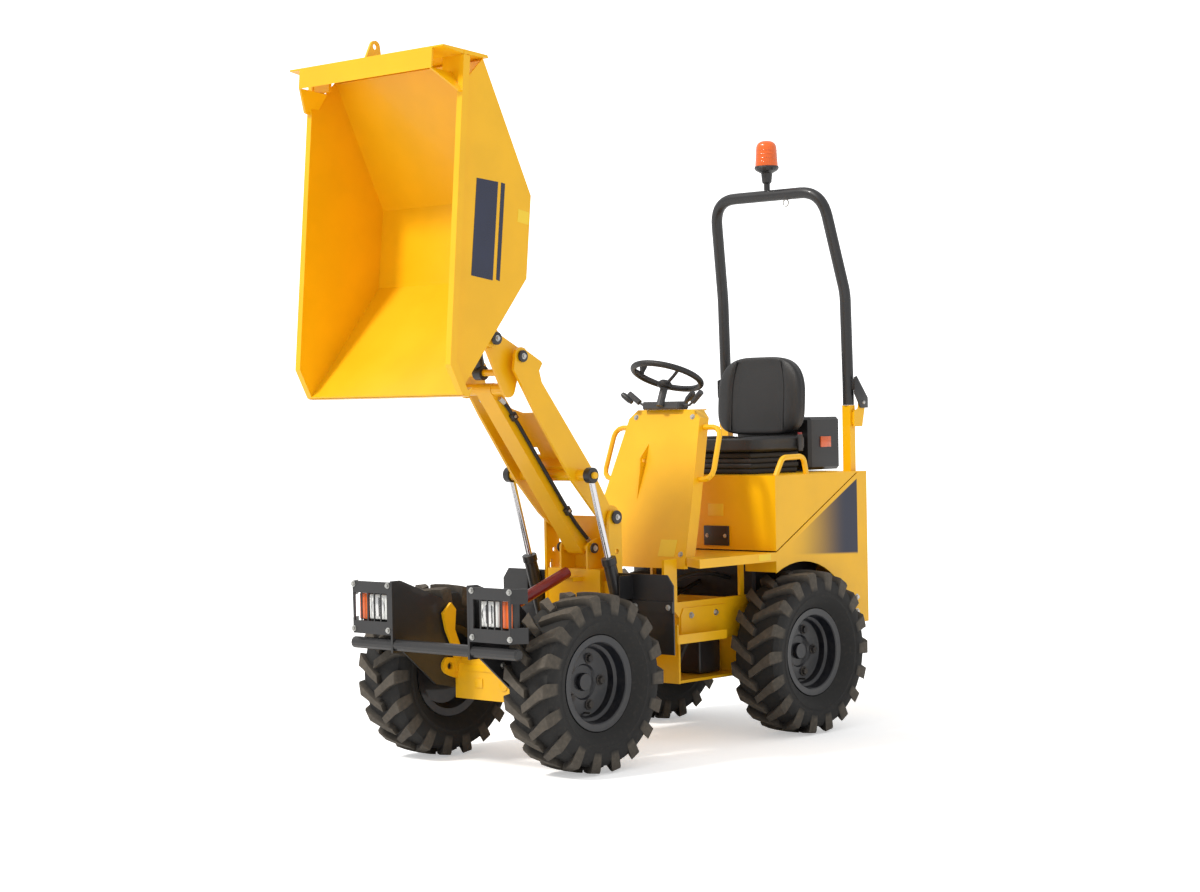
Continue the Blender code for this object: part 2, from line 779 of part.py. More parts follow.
def make_mudguard(side, hand):
    """A plate across the chassis behind the front wheel, with a clamp strip and a rubber flap."""
    inner = TOWER_IN_X + TOWER_PLATE + SEAT
    face = [(inner, 0.570), (0.450, 0.550), (0.450, 0.650), (0.420, 0.690), (inner, 0.690)]
    strip = side_block(side, (0.245, 0.450), (0.418, 0.426), (0.548, 0.590))
    flap = side_block(side, (0.245, 0.450), (0.425, 0.431), (0.390, 0.575))
    wing = side_block(side, (0.241, 0.247), (0.352, 0.426), (0.595, 0.685))
    if side < 0:
        face = [(-x, z) for x, z in face]
    plate = prism(face, 0.425, 0.431, "Y")
    piece(f"mudguard_{hand}", join(plate, strip, flap, wing), BLACK, "front_chassis")


# ---------------------------------------------------------------- lift
def make_lift_arms():
    """Two arm plates, a cross tube for the rams and the web between them."""
    along = (
        (0.7641, 0.0620),
        (0.5555, 0.0765),
        (0.2518, 0.0823),
        (0.0669, 0.0621),
    )
    face = [on_arm(*point) for point in along]
    for angle in range(30, 250, 24):
        turn = math.radians(angle)
        face.append(on_arm(-ARM_END_R * math.sin(turn), ARM_END_R * math.cos(turn)))
    rear = ((0.2266, -0.0322), (0.6362, -0.0237), (0.6779, -0.0400), (0.6881, -0.0700), (0.7000, -0.0690))
    face += [on_arm(*point) for point in rear]
    for angle in range(-90, 61, 25):
        turn = math.radians(angle)
        face.append(on_arm(ARM_LENGTH + 0.034 * math.cos(turn), 0.034 * math.sin(turn)))
    plates = []
    for side, _ in SIDES:
        plate = prism(face, *spread(side, ARM_IN_X, ARM_IN_X + ARM_PLATE))
        hole = cross_rod(ARM_PIN, -0.5, 0.5, ARM_PIN_R + RUN)
        plates.append(cut(plate, hole))
    reach = LIFT_RAM_X - 0.0125
    cross = cross_rod(LIFT_EYE, -reach, reach, 0.022)
    web_x = ARM_IN_X + 0.004
    shares = (1, 0.8, 0.55, 0.25, -0.25, -0.55, -0.8, -1)
    crown = [(x * web_x, 0.490 + 0.100 * abs(x) ** 2.5) for x in shares]
    web = [(-web_x, 0.262), (web_x, 0.262), *crown]
    windows = []
    for side, _ in SIDES:
        window = ((0.060, 0.290), (0.118, 0.290), (0.110, 0.330), (0.056, 0.330))
        windows.append([(side * x, along) for x, along in window])
    lean = Matrix.Translation((0, *ARM_PIN)) @ Matrix(
        ((1, 0, 0, 0), (0, ALONG[0], OUT[0], 0), (0, ALONG[1], OUT[1], 0), (0, 0, 0, 1))
    )
    plate = prism(web, -0.026, -0.018, "Z", (), lean)
    plate = cut(plate, *[prism(window, -0.05, 0, "Z", (), lean) for window in windows])
    foot_x = web_x - 0.001
    foot_face = [(-foot_x, 0.232), (foot_x, 0.232), (foot_x, 0.275), (-foot_x, 0.275)]
    foot = prism(foot_face, -0.0245, 0.030, "Z", (), lean)
    stubs = []
    for side, _ in SIDES:
        low, high = spread(side, CARRIER_IN_X - 0.004, ARM_IN_X + ARM_PLATE + 0.005)
        stubs.append(cross_rod(ARM_TIP, low, high, TIP_PIN_R))
    arms = join(plates[0], cross, plates[1], plate, foot, *stubs)
    piece("lift_arms", arms, YELLOW, "lift_arms")


def make_carrier():
    """Two side plates that hold the arms' ends, the link, the skip and the tip ram."""
    face = wrapped([(tuple(ARM_TIP), 0.040), (tuple(LINK_TIP), 0.032), (tuple(SKIP_PIN), 0.036)])
    plates = []
    for side, _ in SIDES:
        plate = prism(face, *spread(side, CARRIER_IN_X, CARRIER_IN_X + CARRIER_PLATE))
        plates.append(cut(plate, cross_rod(ARM_TIP, -0.5, 0.5, TIP_PIN_R + RUN)))
    reach = CARRIER_IN_X + 0.004
    parts = [
        cross_rod(LINK_TIP, -reach, reach, LINK_PIN_R),
        cross_rod(TIP_RAM_PIN, -reach, reach, 0.013),
    ]
    for side, _ in SIDES:
        low, high = spread(side, reach, LUG_IN_X + LUG_PLATE + 0.012)
        parts.append(cross_rod(SKIP_PIN, low, high, SKIP_PIN_R))
        low, high = spread(side, LINK_X + RUN, reach)
        parts.append(cross_rod(LINK_TIP, low, high, 0.022))
    carrier = combine(plates[0], [*parts, plates[1]], "UNION", "MANIFOLD")
    piece("carrier", carrier, YELLOW, "carrier")


def make_centre_link():
    """The box link that keeps the carrier level."""
    face = wrapped([(tuple(LINK_PIN), LINK_HALF_DEPTH), (tuple(LINK_TIP), LINK_HALF_DEPTH)])
    link = prism(face, -LINK_X, LINK_X)
    holes = [cross_rod(center, -0.1, 0.1, LINK_PIN_R + RUN) for center in (LINK_PIN, LINK_TIP)]
    piece("centre_link", cut(link, *holes), YELLOW, "centre_link")


def make_link_hose(side, hand):
    """A hose clipped along one side of the link, between its two ends."""
    corners = [(side * HOSE_X, *on_arm(along, out, LINK_PIN)) for along, out in HOSE_ROUTE]
    path = filleted(corners, [0.06] * (len(corners) - 2), 3)
    piece(f"link_hose_{hand}", tube(path, HOSE_R), HOSE, "centre_link")


def ram_barrel(pin, eye, x, radius, length, rod_radius, pin_radius, eye_width):
    """A ram's barrel, with the eye that it turns on and a blind bore for its rod."""
    axis = (eye - pin).normalized()
    foot = pin + axis * (pin_radius + 0.010)
    top = pin + axis * length
    barrel = rod((x, *foot), (x, *top), radius)
    head = rod((x, *(top - axis * 0.028)), (x, *(top - axis * 0.0)), radius + 0.004)
    lug = cross_rod(pin, x - eye_width / 2, x + eye_width / 2, pin_radius + 0.014)
    body = join(lug, barrel, head)
    bore = rod((x, *(pin + axis * (pin_radius + 0.018))), (x, *(top + axis * 0.02)), rod_radius + RUN)
    hole = cross_rod(pin, x - 0.1, x + 0.1, pin_radius + RUN)
    return cut(body, bore, hole)


def ram_rod(pin, eye, x, radius, length, eye_radius, x_low, x_high):
    """A ram's rod with its eye."""
    axis = (pin - eye).normalized()
    bar = rod((x, *eye), (x, *(eye + axis * length)), radius)
    return join(cross_rod(eye, x_low, x_high, eye_radius), bar)


def make_lift_rams():
    """The two rams that raise the arms."""
    reach = (LIFT_EYE - LIFT_RAM_PIN).length
    length = reach - LIFT_BARREL + LIFT_OVERLAP
    for side, hand in SIDES:
        x = side * LIFT_RAM_X
        barrel = ram_barrel(
            LIFT_RAM_PIN, LIFT_EYE, x, LIFT_BARREL_R, LIFT_BARREL, LIFT_ROD_R, 0.014, 0.044
        )
        piece(f"lift_ram_barrel_{hand}", barrel, BLACK, "lift_barrels")
        low, high = spread(side, LIFT_RAM_X - 0.0125 + SEAT, LIFT_RAM_X + 0.018)
        bar = ram_rod(LIFT_RAM_PIN, LIFT_EYE, x, LIFT_ROD_R, length, LIFT_EYE_R, low, high)
        low, high = spread(side, LIFT_RAM_X + 0.016, LIFT_RAM_X + 0.032)
        bar = join(bar, cross_rod(LIFT_EYE, low, high, 0.013))
        piece(f"lift_ram_rod_{hand}", bar, CHROME, "lift_rods")


def make_tip_ram():
    """The ram that tips the skip, under its floor."""
    reach = (TIP_ROD_EYE - TIP_RAM_PIN).length
    barrel = ram_barrel(
        TIP_RAM_PIN, TIP_ROD_EYE, 0, TIP_BARREL_R, TIP_BARREL, TIP_ROD_R, 0.013, 0.040
    )
    piece("tip_ram_barrel", barrel, BLACK, "tip_barrel")
    length = reach - TIP_BARREL + TIP_OVERLAP
    bar = ram_rod(TIP_RAM_PIN, TIP_ROD_EYE, 0, TIP_ROD_R, length, TIP_EYE_R, -0.013, 0.013)
    piece("tip_ram_rod", bar, CHROME, "tip_rod")


# ---------------------------------------------------------------- skip
def inset(points, distance):
    """The outline moved inwards by a distance; it runs anticlockwise or clockwise."""
    count = len(points)
    area = sum(
        points[i][0] * points[(i + 1) % count][1] - points[(i + 1) % count][0] * points[i][1]
        for i in range(count)
    )
    sign = 1 if area > 0 else -1
    moved = []
    for index in range(count):
        before = Vector(points[index]) - Vector(points[index - 1])
        after = Vector(points[(index + 1) % count]) - Vector(points[index])
        first = Vector((-before[1], before[0])).normalized() * sign
        second = Vector((-after[1], after[0])).normalized() * sign
        middle = first + second
        moved.append(Vector(points[index]) + middle * (distance / middle.dot(first)))
    return moved


def slope_height(ahead):
    """Height of the skip's sloping front panel, outside, at a distance ahead of its pivot."""
    low, high = Vector(SKIP_FLOOR_FRONT), Vector(SKIP_LIP)
    return low[1] + (high[1] - low[1]) * (ahead - low[0]) / (high[0] - low[0])


def make_skip():
    """An open skip of folded plate with its rim, rear guard, lifting eye and pivot lugs."""
    level = [SKIP_LIP, SKIP_MOUTH, SKIP_REAR_RIM, SKIP_REAR_TOP, SKIP_FLOOR_REAR, SKIP_FLOOR_FRONT]
    outline = [tuple(on_skip(*point)) for point in level]
    shell = prism(outline, -SKIP_X, SKIP_X)
    hollow = [
        (SKIP_LIP[0] + 0.08, SKIP_LIP[1] + 0.055),
        (SKIP_LIP[0] + 0.08, 0.65),
        (-0.80, 0.65),
        (-0.80 - 0.09, 0.47),
        SKIP_REAR_TOP,
        SKIP_FLOOR_REAR,
        SKIP_FLOOR_FRONT,
    ]
    inner = [tuple(on_skip(*point)) for point in inset(hollow, SKIP_WALL)]
    skip = cut(shell, prism(inner, -SKIP_X + SKIP_WALL, SKIP_X - SKIP_WALL))
    parts = []
    for side, _ in SIDES:
        low, high = spread(side, SKIP_X - 0.004, RIM_X)
        rim = [
            (SKIP_LIP[0], SKIP_LIP[1]),
            SKIP_MOUTH,
            (-0.925, SKIP_REAR_RIM[1]),
            (-0.925, SKIP_REAR_RIM[1] - RIM_DEPTH),
            (SKIP_MOUTH[0] - 0.012, SKIP_MOUTH[1] - RIM_DEPTH),
            (SKIP_LIP[0] - 0.012, SKIP_LIP[1] - RIM_DEPTH * 0.9),
        ]
        parts.append(prism([tuple(on_skip(*point)) for point in rim], low, high))
        heels = []
        for ahead in (-0.150, -0.020):
            heels.append((tuple(on_skip(ahead, slope_height(ahead) - 0.003)), 0.006))
        lug = wrapped([(tuple(SKIP_PIN), 0.034), *heels])
        parts.append(prism(lug, *spread(side, LUG_IN_X, LUG_IN_X + LUG_PLATE)))
        floor = SKIP_FLOOR_REAR[1] + 0.004
        heels = [(tuple(on_skip(ahead, floor)), 0.005) for ahead in (-0.262, -0.205)]
        cheek = wrapped([(tuple(TIP_ROD_EYE), 0.020), *heels])
        parts.append(prism(cheek, *spread(side, 0.0155, 0.0235)))
    parts += guard_parts()
    ahead, up = SKIP_LIP
    lip = [
        (ahead - 0.016, up - 0.018),
        (ahead - 0.030, up - 0.045),
        (ahead + 0.004, up - 0.030),
        (ahead + 0.002, up - 0.004),
    ]
    parts.append(prism([tuple(on_skip(*point)) for point in lip], -RIM_X, RIM_X))
    skip = join(skip, *parts)
    holes = []
    for side, _ in SIDES:
        holes.append(cross_rod(SKIP_PIN, *spread(side, 0.11, 0.15), SKIP_PIN_R + RUN, 16))
    piece("skip", cut(skip, *holes), YELLOW, "skip")


def guard_parts():
    """The spill guard over the skip's back wall, its wings and the lifting eye."""
    back = [
        (-0.9341, 0.350),
        (-0.9441, 0.356),
        (-0.9441, GUARD_UP),
        (-0.9381, GUARD_UP),
        (-0.9281, 0.470),
    ]
    parts = [prism([tuple(on_skip(*point)) for point in back], -RIM_X + 0.004, RIM_X - 0.004)]
    brow = [
        (-0.9441, GUARD_UP),
        (-0.9441, GUARD_UP - 0.008),
        (-0.872, GUARD_UP - 0.006),
        BROW_EDGE,
    ]
    parts.append(prism([tuple(on_skip(*point)) for point in brow], -0.350, 0.350))
    frame = skip_frame()
    for side, _ in SIDES:
        wing = [
            (side * 0.340, -0.869),
            (side * 0.346, -0.872),
            (side * (RIM_X - 0.001), -0.800),
            (side * (RIM_X - 0.009), -0.796),
        ]
        lift = prism(wing, 0.440, GUARD_UP - 0.0007, "Z", (), frame)
        edge = ((-0.75, 0.40), (-1.0, 0.40), (-1.0, 0.60), BROW_EDGE, (-0.79, 0.478))
        slope = prism([tuple(on_skip(*point)) for point in edge], -0.5, 0.5)
        parts.append(keep_inside(lift, slope))
        gusset = [
            (side * 0.300, -0.944),
            (side * 0.300, -0.872),
            (side * 0.346, -0.871),
            (side * (RIM_X - 0.002), -0.800),
            (side * (RIM_X - 0.002), -0.944),
        ]
        parts.append(prism(gusset, 0.455, 0.468, "Z", (), frame))
    eye = wrapped([((-0.990, 0.520), 0.022), ((-0.940, 0.500), 0.014), ((-0.940, 0.550), 0.012)])
    hole = circle((-0.990, 0.520), 0.011, 12)
    spin = [tuple(on_skip(*point)) for point in eye]
    parts.append(prism(spin, -0.005, 0.005, holes=([tuple(on_skip(*point)) for point in hole],)))
    return parts


def skip_frame():
    """The matrix from (X, ahead, up) in the skip's level frame to machine coordinates."""
    ahead = Vector((0, -math.cos(SKIP_TIP), -math.sin(SKIP_TIP)))
    up = Vector((0, -math.sin(SKIP_TIP), math.cos(SKIP_TIP)))
    columns = Matrix(((1, 0, 0), ahead, up)).transposed().to_4x4()
    return Matrix.Translation((0, *SKIP_PIN)) @ columns


# ---------------------------------------------------------------- rear chassis and body
def make_rear_frame():
    """Side rails with their posts, the pivot tube and web, the cross plate and the belly plate."""
    low, high = RAIL_Z
    post_top = DECK_Z[1] - PANEL - SEAT
    rail = [
        (0.700, low),
        (0.700, 0.500),
        (0.615, 0.575),
        (0.615, post_top),
        (0.690, post_top),
        (0.690, high),
        (1.075, high),
        (1.075, post_top),
        (1.100, post_top),
        (1.100, high),
        (1.690, high),
        (1.690, low),
        (1.370, low),
        (1.340, 0.262),
        (1.202, 0.262),
        (1.172, low),
    ]
    outer = RAIL_X + RAIL_PLATE
    hole = cross_rod((WHEELBASE, AXLE_Z), -0.5, 0.5, AXLE_R + SEAT)
    rails = []
    for side, _ in SIDES:
        rails.append(prism(rail, *spread(side, RAIL_X, outer)))
    x = RAIL_X + 0.004
    parts = [
        block((-x, 0.701, 0.240), (x, 0.712, high - 0.010)),
        block((0.001 - x, 0.704, 0.241), (x - 0.001, 1.086, 0.252)),
        block((-x, 1.078, 0.240), (x, 1.090, high - 0.010)),
        block((-x, 1.676, low + 0.01), (x, 1.688, high - 0.01)),
        rod((0, PIVOT_Y, YOKE_LOW_Z + RUN), (0, PIVOT_Y, YOKE_TOP_Z - RUN), 0.045),
        rod(
            (0, PIVOT_Y, YOKE_LOW_Z - YOKE_PLATE - 0.006),
            (0, PIVOT_Y, YOKE_TOP_Z + YOKE_PLATE + 0.006),
            0.018,
        ),
        block((-0.035, PIVOT_Y + 0.01, 0.310), (0.035, 0.706, 0.450)),
    ]
    frame = combine(rails[0], [*parts, rails[1]], "UNION", "MANIFOLD")
    piece("rear_frame", combine(frame, [hole], "DIFFERENCE", "MANIFOLD"), YELLOW, "rear_chassis")


def make_engine_block():
    """The engine as one plain block between the rails."""
    x = RAIL_X - SEAT
    engine = block((-x, 1.180, 0.425), (x, 1.600, 0.900))
    piece("engine_block", bevelled(engine, 0.01, 1), IRON, "rear_chassis")


def make_platform():
    """The footplate: a tray with its edges turned down."""
    low, high = DECK_Z
    middle_y = CONSOLE_FOOT[0] + (high - CONSOLE_FOOT[1]) * CONSOLE_LEAN + PANEL + 0.001
    rear = BODY_Y[0] - SEAT
    shoulder = CONSOLE_X[0][0] + 0.004
    outline = [
        (-BODY_X, rear),
        (-BODY_X, DECK_FRONT_Y),
        (-shoulder, middle_y - 0.012),
        (-shoulder, middle_y),
        (shoulder, middle_y),
        (shoulder, middle_y - 0.012),
        (BODY_X, DECK_FRONT_Y),
        (BODY_X, rear),
    ]
    tray = prism(outline, low, high, "Z")
    hollow = prism(inset(outline, PANEL), low - 0.05, high - PANEL, "Z")
    slots = []
    for side, _ in SIDES:
        slot_x = (RAIL_X - 0.003, RAIL_X + RAIL_PLATE + 0.003)
        slots.append(side_block(side, slot_x, (0.55, 0.72), (low - 0.1, high - PANEL)))
    piece("platform_floor", cut(tray, hollow, *slots), YELLOW, "rear_chassis")


def side_outline():
    """The body's side, from the wheel arch up to the diagonal split."""
    center = (WHEELBASE, AXLE_Z)
    front, rear = BODY_Y
    front_angle = math.degrees(math.acos((front - WHEELBASE) / ARCH_R))
    rear_angle = math.degrees(math.asin((BODY_LOW_Z - AXLE_Z) / ARCH_R))
    return [
        (front, DECK_Z[1] - 0.002),
        (COVER_REAR_Y, BODY_TOP_Z - 0.004),
        (COVER_REAR_Y, BODY_TOP_Z),
        (rear, BODY_TOP_Z),
        (rear, BODY_LOW_Z),
        *arc(center, ARCH_R, rear_angle, front_angle, 14),
    ]


def make_body_shell():
    """Side panels, rear wall and rear deck of the fixed body."""
    outline = side_outline()
    parts = []
    for side, _ in SIDES:
        parts.append(prism(outline, *spread(side, BODY_X - PANEL, BODY_X)))
    x = BODY_X - 0.002
    rear = BODY_Y[1]
    wall = block((-x, rear - PANEL, BODY_LOW_Z), (x, rear, BODY_TOP_Z - 0.001))
    deck = block((-x, COVER_REAR_Y, BODY_TOP_Z - PANEL), (x, rear - 0.001, BODY_TOP_Z))
    ties = []
    for side, _ in SIDES:
        low, high = spread(side, RAIL_X + RAIL_PLATE + SEAT, BODY_X - 0.002)
        ties.append(block((low, 1.655, 0.425), (high, 1.668, 0.550)))
        ties.append(block((low, 1.1105, 0.655), (high, 1.122, 0.728)))
    shell = join(parts[0], wall, deck, parts[1], *ties)
    holes = []
    for side, _ in SIDES:
        holes.append(socket_block(side, SEAT, BODY_TOP_Z - 0.05, BODY_TOP_Z + 0.05))
    piece("body_shell", cut(shell, *holes), YELLOW, "rear_chassis")


def socket_block(side, grow, low, high):
    """The roll bar's square socket on one side, grown by a clearance."""
    half_x, half_y = ROPS_SOCKET[0] / 2 + grow, ROPS_SOCKET[1] / 2 + grow
    return side_block(
        side, (ROPS_X - half_x, ROPS_X + half_x), (ROPS_Y - half_y, ROPS_Y + half_y), (low, high)
    )


def make_roll_bar_base():
    """Two sockets on a cross beam under the deck, with the hinge ears on their outer sides."""
    beam_top = BODY_TOP_Z - PANEL - SEAT
    beam = block((-0.360, ROPS_Y - 0.0165, beam_top - 0.035), (0.360, ROPS_Y + 0.0165, beam_top))
    parts = []
    for side, _ in SIDES:
        parts.append(socket_block(side, 0, beam_top - 0.020, ROPS_SOCKET_TOP))
        ear = [
            (1.690, 1.225),
            (1.745, 1.225),
            *arc(ROPS_HINGE, 0.024, -20, 130, 6),
            (1.720, 1.300),
            (1.690, 1.290),
        ]
        parts.append(prism(ear, *spread(side, 0.3592, 0.3652)))
        parts.append(side_block(side, (0.345, 0.361), (1.692, 1.714), (1.235, 1.285)))
    base = join(beam, *parts)
    hole = cross_rod(ROPS_HINGE, -0.5, 0.5, 0.008 + RUN)
    piece("roll_bar_base", cut(base, hole), YELLOW, "rear_chassis")


def make_roll_bar():
    """The hoop, with the hinge plates that let it fold back."""
    foot = Vector((ROPS_X, ROPS_Y, ROPS_SOCKET_TOP + SEAT))
    rise = Vector((ROPS_X, ROPS_Y, 1.400))
    left = [foot, rise, ROPS_KINK, ROPS_CORNER]
    right = [Vector((-point[0], point[1], point[2])) for point in left[::-1]]
    path = filleted(left + right, [0.2, 0.4, 0.11, 0.11, 0.4, 0.2], 3)
    hoop = tube(path, ROPS_R)
    parts = []
    for side, _ in SIDES:
        face = [
            (1.688, 1.362),
            (1.688, 1.430),
            (1.703, 1.436),
            (1.778, 1.345),
            (1.778, 1.302),
            (1.728, 1.302),
        ]
        parts.append(prism(face, *spread(side, 0.3664, 0.3724)))
        parts.append(side_block(side, (0.345, 0.368), (1.690, 1.708), (1.378, 1.424)))
        low, high = spread(side, 0.3585, 0.378)
        parts.append(cross_rod(ROPS_HINGE, low, high, 0.008))
    piece("roll_bar_hoop", join(hoop, *parts), BLACK, "roll_bar")


def make_beacon():
    """The flashing beacon on its stem, above the hoop."""
    low = ROPS_CORNER[2] + ROPS_R + SEAT
    stem = [
        (0, 2.330),
        (0.050, 2.330),
        (0.052, 2.322),
        (0.046, 2.312),
        (0.024, 2.300),
        (0.020, 2.262),
        (0.013, 2.255),
        (0.013, low),
        (0, low),
    ]
    at = Matrix.Translation((0, ROPS_CORNER[1], 0))
    piece("beacon_stem", turned(stem, 20, at), BLACK, "roll_bar")
    dome = [
        (0, 2.438),
        (0.020, 2.437),
        (0.038, 2.425),
        (0.044, 2.405),
        (0.048, 2.335),
        (0.048, 2.330 + SEAT),
        (0, 2.330 + SEAT),
    ]
    piece("beacon_dome", turned(dome, 20, at), AMBER, "roll_bar")


def make_engine_cover():
    """The cover over the engine, hollow, split from the body along the diagonal."""
    front, _ = BODY_Y
    gap = 0.005
    foot_z = DECK_Z[1] + gap
    rear = COVER_REAR_Y - gap
    outline = [
        (front + 0.0005, foot_z),
        (front + 0.0005, BODY_TOP_Z),
        (rear, BODY_TOP_Z),
        (rear, BODY_TOP_Z - 0.001),
        (front + 0.0017, foot_z),
    ]
    solid = prism(outline, -BODY_X, BODY_X)
    hollow = [
        (front + PANEL, foot_z - 0.1),
        (front + PANEL, BODY_TOP_Z - PANEL),
        (rear + 0.1, BODY_TOP_Z - PANEL),
        (rear + 0.1, foot_z - 0.1),
    ]
    cover = cut(solid, prism(hollow, -BODY_X + PANEL, BODY_X - PANEL))
    roof_x = BODY_X - 0.002
    top = block((-roof_x, front + 0.003, BODY_TOP_Z - PANEL), (roof_x, rear, BODY_TOP_Z))
    cover = join(cover, top)
    parts = []
    for side, _ in SIDES:
        x = side * (BODY_X - 0.012)
        rail = [(x, 1.128, 1.036), (x, 1.175, 1.110), (x, 1.310, 1.112), (x, 1.330, 1.036)]
        parts.append(tube(filleted(rail, [0.035, 0.03], 3), HANDLE_R))
    piece("engine_cover", join(cover, *parts), YELLOW, "engine_cover")


def make_seat():
    """Suspension box, cushion and back of the operator's seat."""
    front, rear = SEAT_Y
    base = block((-0.190, front + 0.03, BODY_TOP_Z + SEAT), (0.190, rear - 0.02, 1.128))
    piece("seat_suspension", bevelled(base, 0.008, 1), VINYL, "engine_cover")
    cushion = block((-0.235, front, 1.128 + SEAT), (0.235, rear, 1.195))
    piece("seat_cushion", bevelled(cushion, 0.025, 3), VINYL, "engine_cover")
    low = 1.195 + SEAT
    face = [(1.468, low), (1.562, low), (1.590, 1.470), (1.575, 1.524), (1.535, 1.524), (1.505, 1.470)]
    back = prism(face, -0.225, 0.225)
    piece("seat_back", bevelled(back, 0.018, 2), VINYL, "engine_cover")


def make_rear_box():
    """The box behind the seat."""
    box = block((-0.200, 1.600, BODY_TOP_Z + 0.0052), (0.200, REAR_REACH, 1.267))
    foot = block((-0.120, 1.605, BODY_TOP_Z + SEAT), (0.120, COVER_REAR_Y - 0.006, BODY_TOP_Z + 0.02))
    piece("rear_box", join(bevelled(box, 0.012, 1), foot), BLACK, "engine_cover")


# ---------------------------------------------------------------- controls
def console_front(z):
    """Y of the console's front face at a height."""
    return CONSOLE_FOOT[0] + (z - CONSOLE_FOOT[1]) * CONSOLE_LEAN


def make_console():
    """A folded cowl, open at the back, with its grab handles and the fin on its front."""
    low, high = CONSOLE_FOOT[1], CONSOLE_TOP_Z
    outline = [(x, z) for x, z in CONSOLE_X] + [(-x, z) for x, z in CONSOLE_X[::-1]]
    mask = prism(outline, 0.5, 1.2, "Y")
    slab = [
        (console_front(low), low),
        (console_front(high), high),
        (console_front(high) + CONSOLE_DEPTH, high),
        (console_front(low) + CONSOLE_DEPTH, low),
    ]
    cowl = keep_inside(prism(slab, -0.4, 0.4), mask)
    inside = [(x - PANEL, z) for x, z in CONSOLE_X[:3]]
    inside.append((CONSOLE_X[3][0] - PANEL * 0.6, high - PANEL))
    inside[0] = (inside[0][0] + 0.006, inside[0][1] - 0.05)
    inner = prism(inside + [(-x, z) for x, z in inside[::-1]], 0.5, 1.2, "Y")
    room = [
        (console_front(low - 0.05) + PANEL * 1.06, low - 0.05),
        (console_front(high) + PANEL * 1.06, high),
        (console_front(high) + 0.2, high),
        (console_front(low - 0.05) + 0.2, low - 0.05),
    ]
    cowl = cut(cowl, keep_inside(prism(room, -0.5, 0.5), inner))
    deck = DECK_Z[1] + SEAT
    step_y = console_front(DECK_Z[1]) + PANEL * 1.06 + 0.0003
    cowl = cut(cowl, block((-0.5, step_y, 0.6), (0.5, 1.0, deck)))
    parts = [console_fin()]
    for side, _ in SIDES:
        top = (side * 0.180, 0.925, 1.238)
        low_end = (side * 0.216, 0.855, 1.033)
        outer_top = (side * 0.280, 0.925, 1.238)
        outer_low = (side * 0.290, 0.855, 1.033)
        path = filleted([top, outer_top, outer_low, low_end], [0.04, 0.04], 3)
        parts.append(tube(path, HANDLE_R))
    shelf_y = console_front(high) + 0.004
    parts.append(block((-0.148, shelf_y, high - 0.006), (0.148, shelf_y + 0.075, high)))
    piece("console", join(cowl, *parts), YELLOW, "rear_chassis")


def console_fin():
    """The upright fin with a hole on the console's front face."""
    tip = console_front(1.14) - 0.045
    face = [
        (console_front(0.93) + 0.003, 0.93),
        (tip, 1.070),
        (tip + 0.004, 1.120),
        (console_front(1.18) + 0.003, 1.18),
    ]
    hole = circle((tip + 0.022, 1.108), 0.008, 12)
    return prism(face, -0.060, -0.052, holes=(hole,))


def make_steering_column():
    """The column, its switch housing and two levers, on the console's top."""
    low = CONSOLE_TOP_Z + SEAT
    foot = COLUMN_TOP - COLUMN_AXIS * 0.085
    housing = block((-0.105, foot[1] + 0.012, low), (0.090, foot[1] + 0.080, 1.343))
    column = rod(COLUMN_TOP - COLUMN_AXIS * 0.078, COLUMN_TOP - COLUMN_AXIS * RUN, 0.016)
    levers = []
    for side, _ in SIDES:
        y = foot[1] + 0.045
        path = [(side * 0.080, y, 1.327), (side * 0.120, y, 1.326), (side * 0.150, y - 0.004, 1.345)]
        levers.append(tube(path, 0.005, 1))
        levers.append(rod((side * 0.142, y - 0.003, 1.340), (side * 0.192, y - 0.010, 1.378), 0.012, 12))
    stalk = join(bevelled(housing, 0.006, 1), column, *levers)
    piece("steering_column", stalk, PLASTIC, "rear_chassis")


def make_steering_wheel():
    """Ring, three spokes, hub and spinner knob."""
    grip = 0.052
    place = Matrix.Translation(COLUMN_TOP) @ Matrix.Rotation(-COLUMN_TILT, 4, "X")
    rows = circle((WHEEL_R - WHEEL_GRIP_R, grip), WHEEL_GRIP_R, 8)[::-1]
    ring = turned(rows, 24, place)
    boss = [(0, 0.030), (0.024, 0.030), (0.030, 0.022), (0.030, 0.002), (0.022, 0), (0, 0)]
    hub = turned(boss, 12, place)
    parts = [hub]
    for angle in (90, 210, 330):
        turn = math.radians(angle)
        near = place @ Vector((0.018 * math.cos(turn), 0.018 * math.sin(turn), 0.016))
        far = place @ Vector((0.139 * math.cos(turn), 0.139 * math.sin(turn), grip))
        parts.append(rod(near, far, 0.008, 10))
    turn = math.radians(215)
    knob_foot = place @ Vector((0.103 * math.cos(turn), 0.103 * math.sin(turn), grip - 0.012))
    knob_arm = place @ Vector((0.139 * math.cos(turn), 0.139 * math.sin(turn), grip))
    knob_top = knob_foot + COLUMN_AXIS * 0.052
    parts.append(rod(knob_arm, knob_foot, 0.006, 10))
    parts.append(rod(knob_foot - COLUMN_AXIS * 0.004, knob_top, 0.015, 12))
    piece("steering_wheel", join(ring, *parts), VINYL, "steering_wheel")


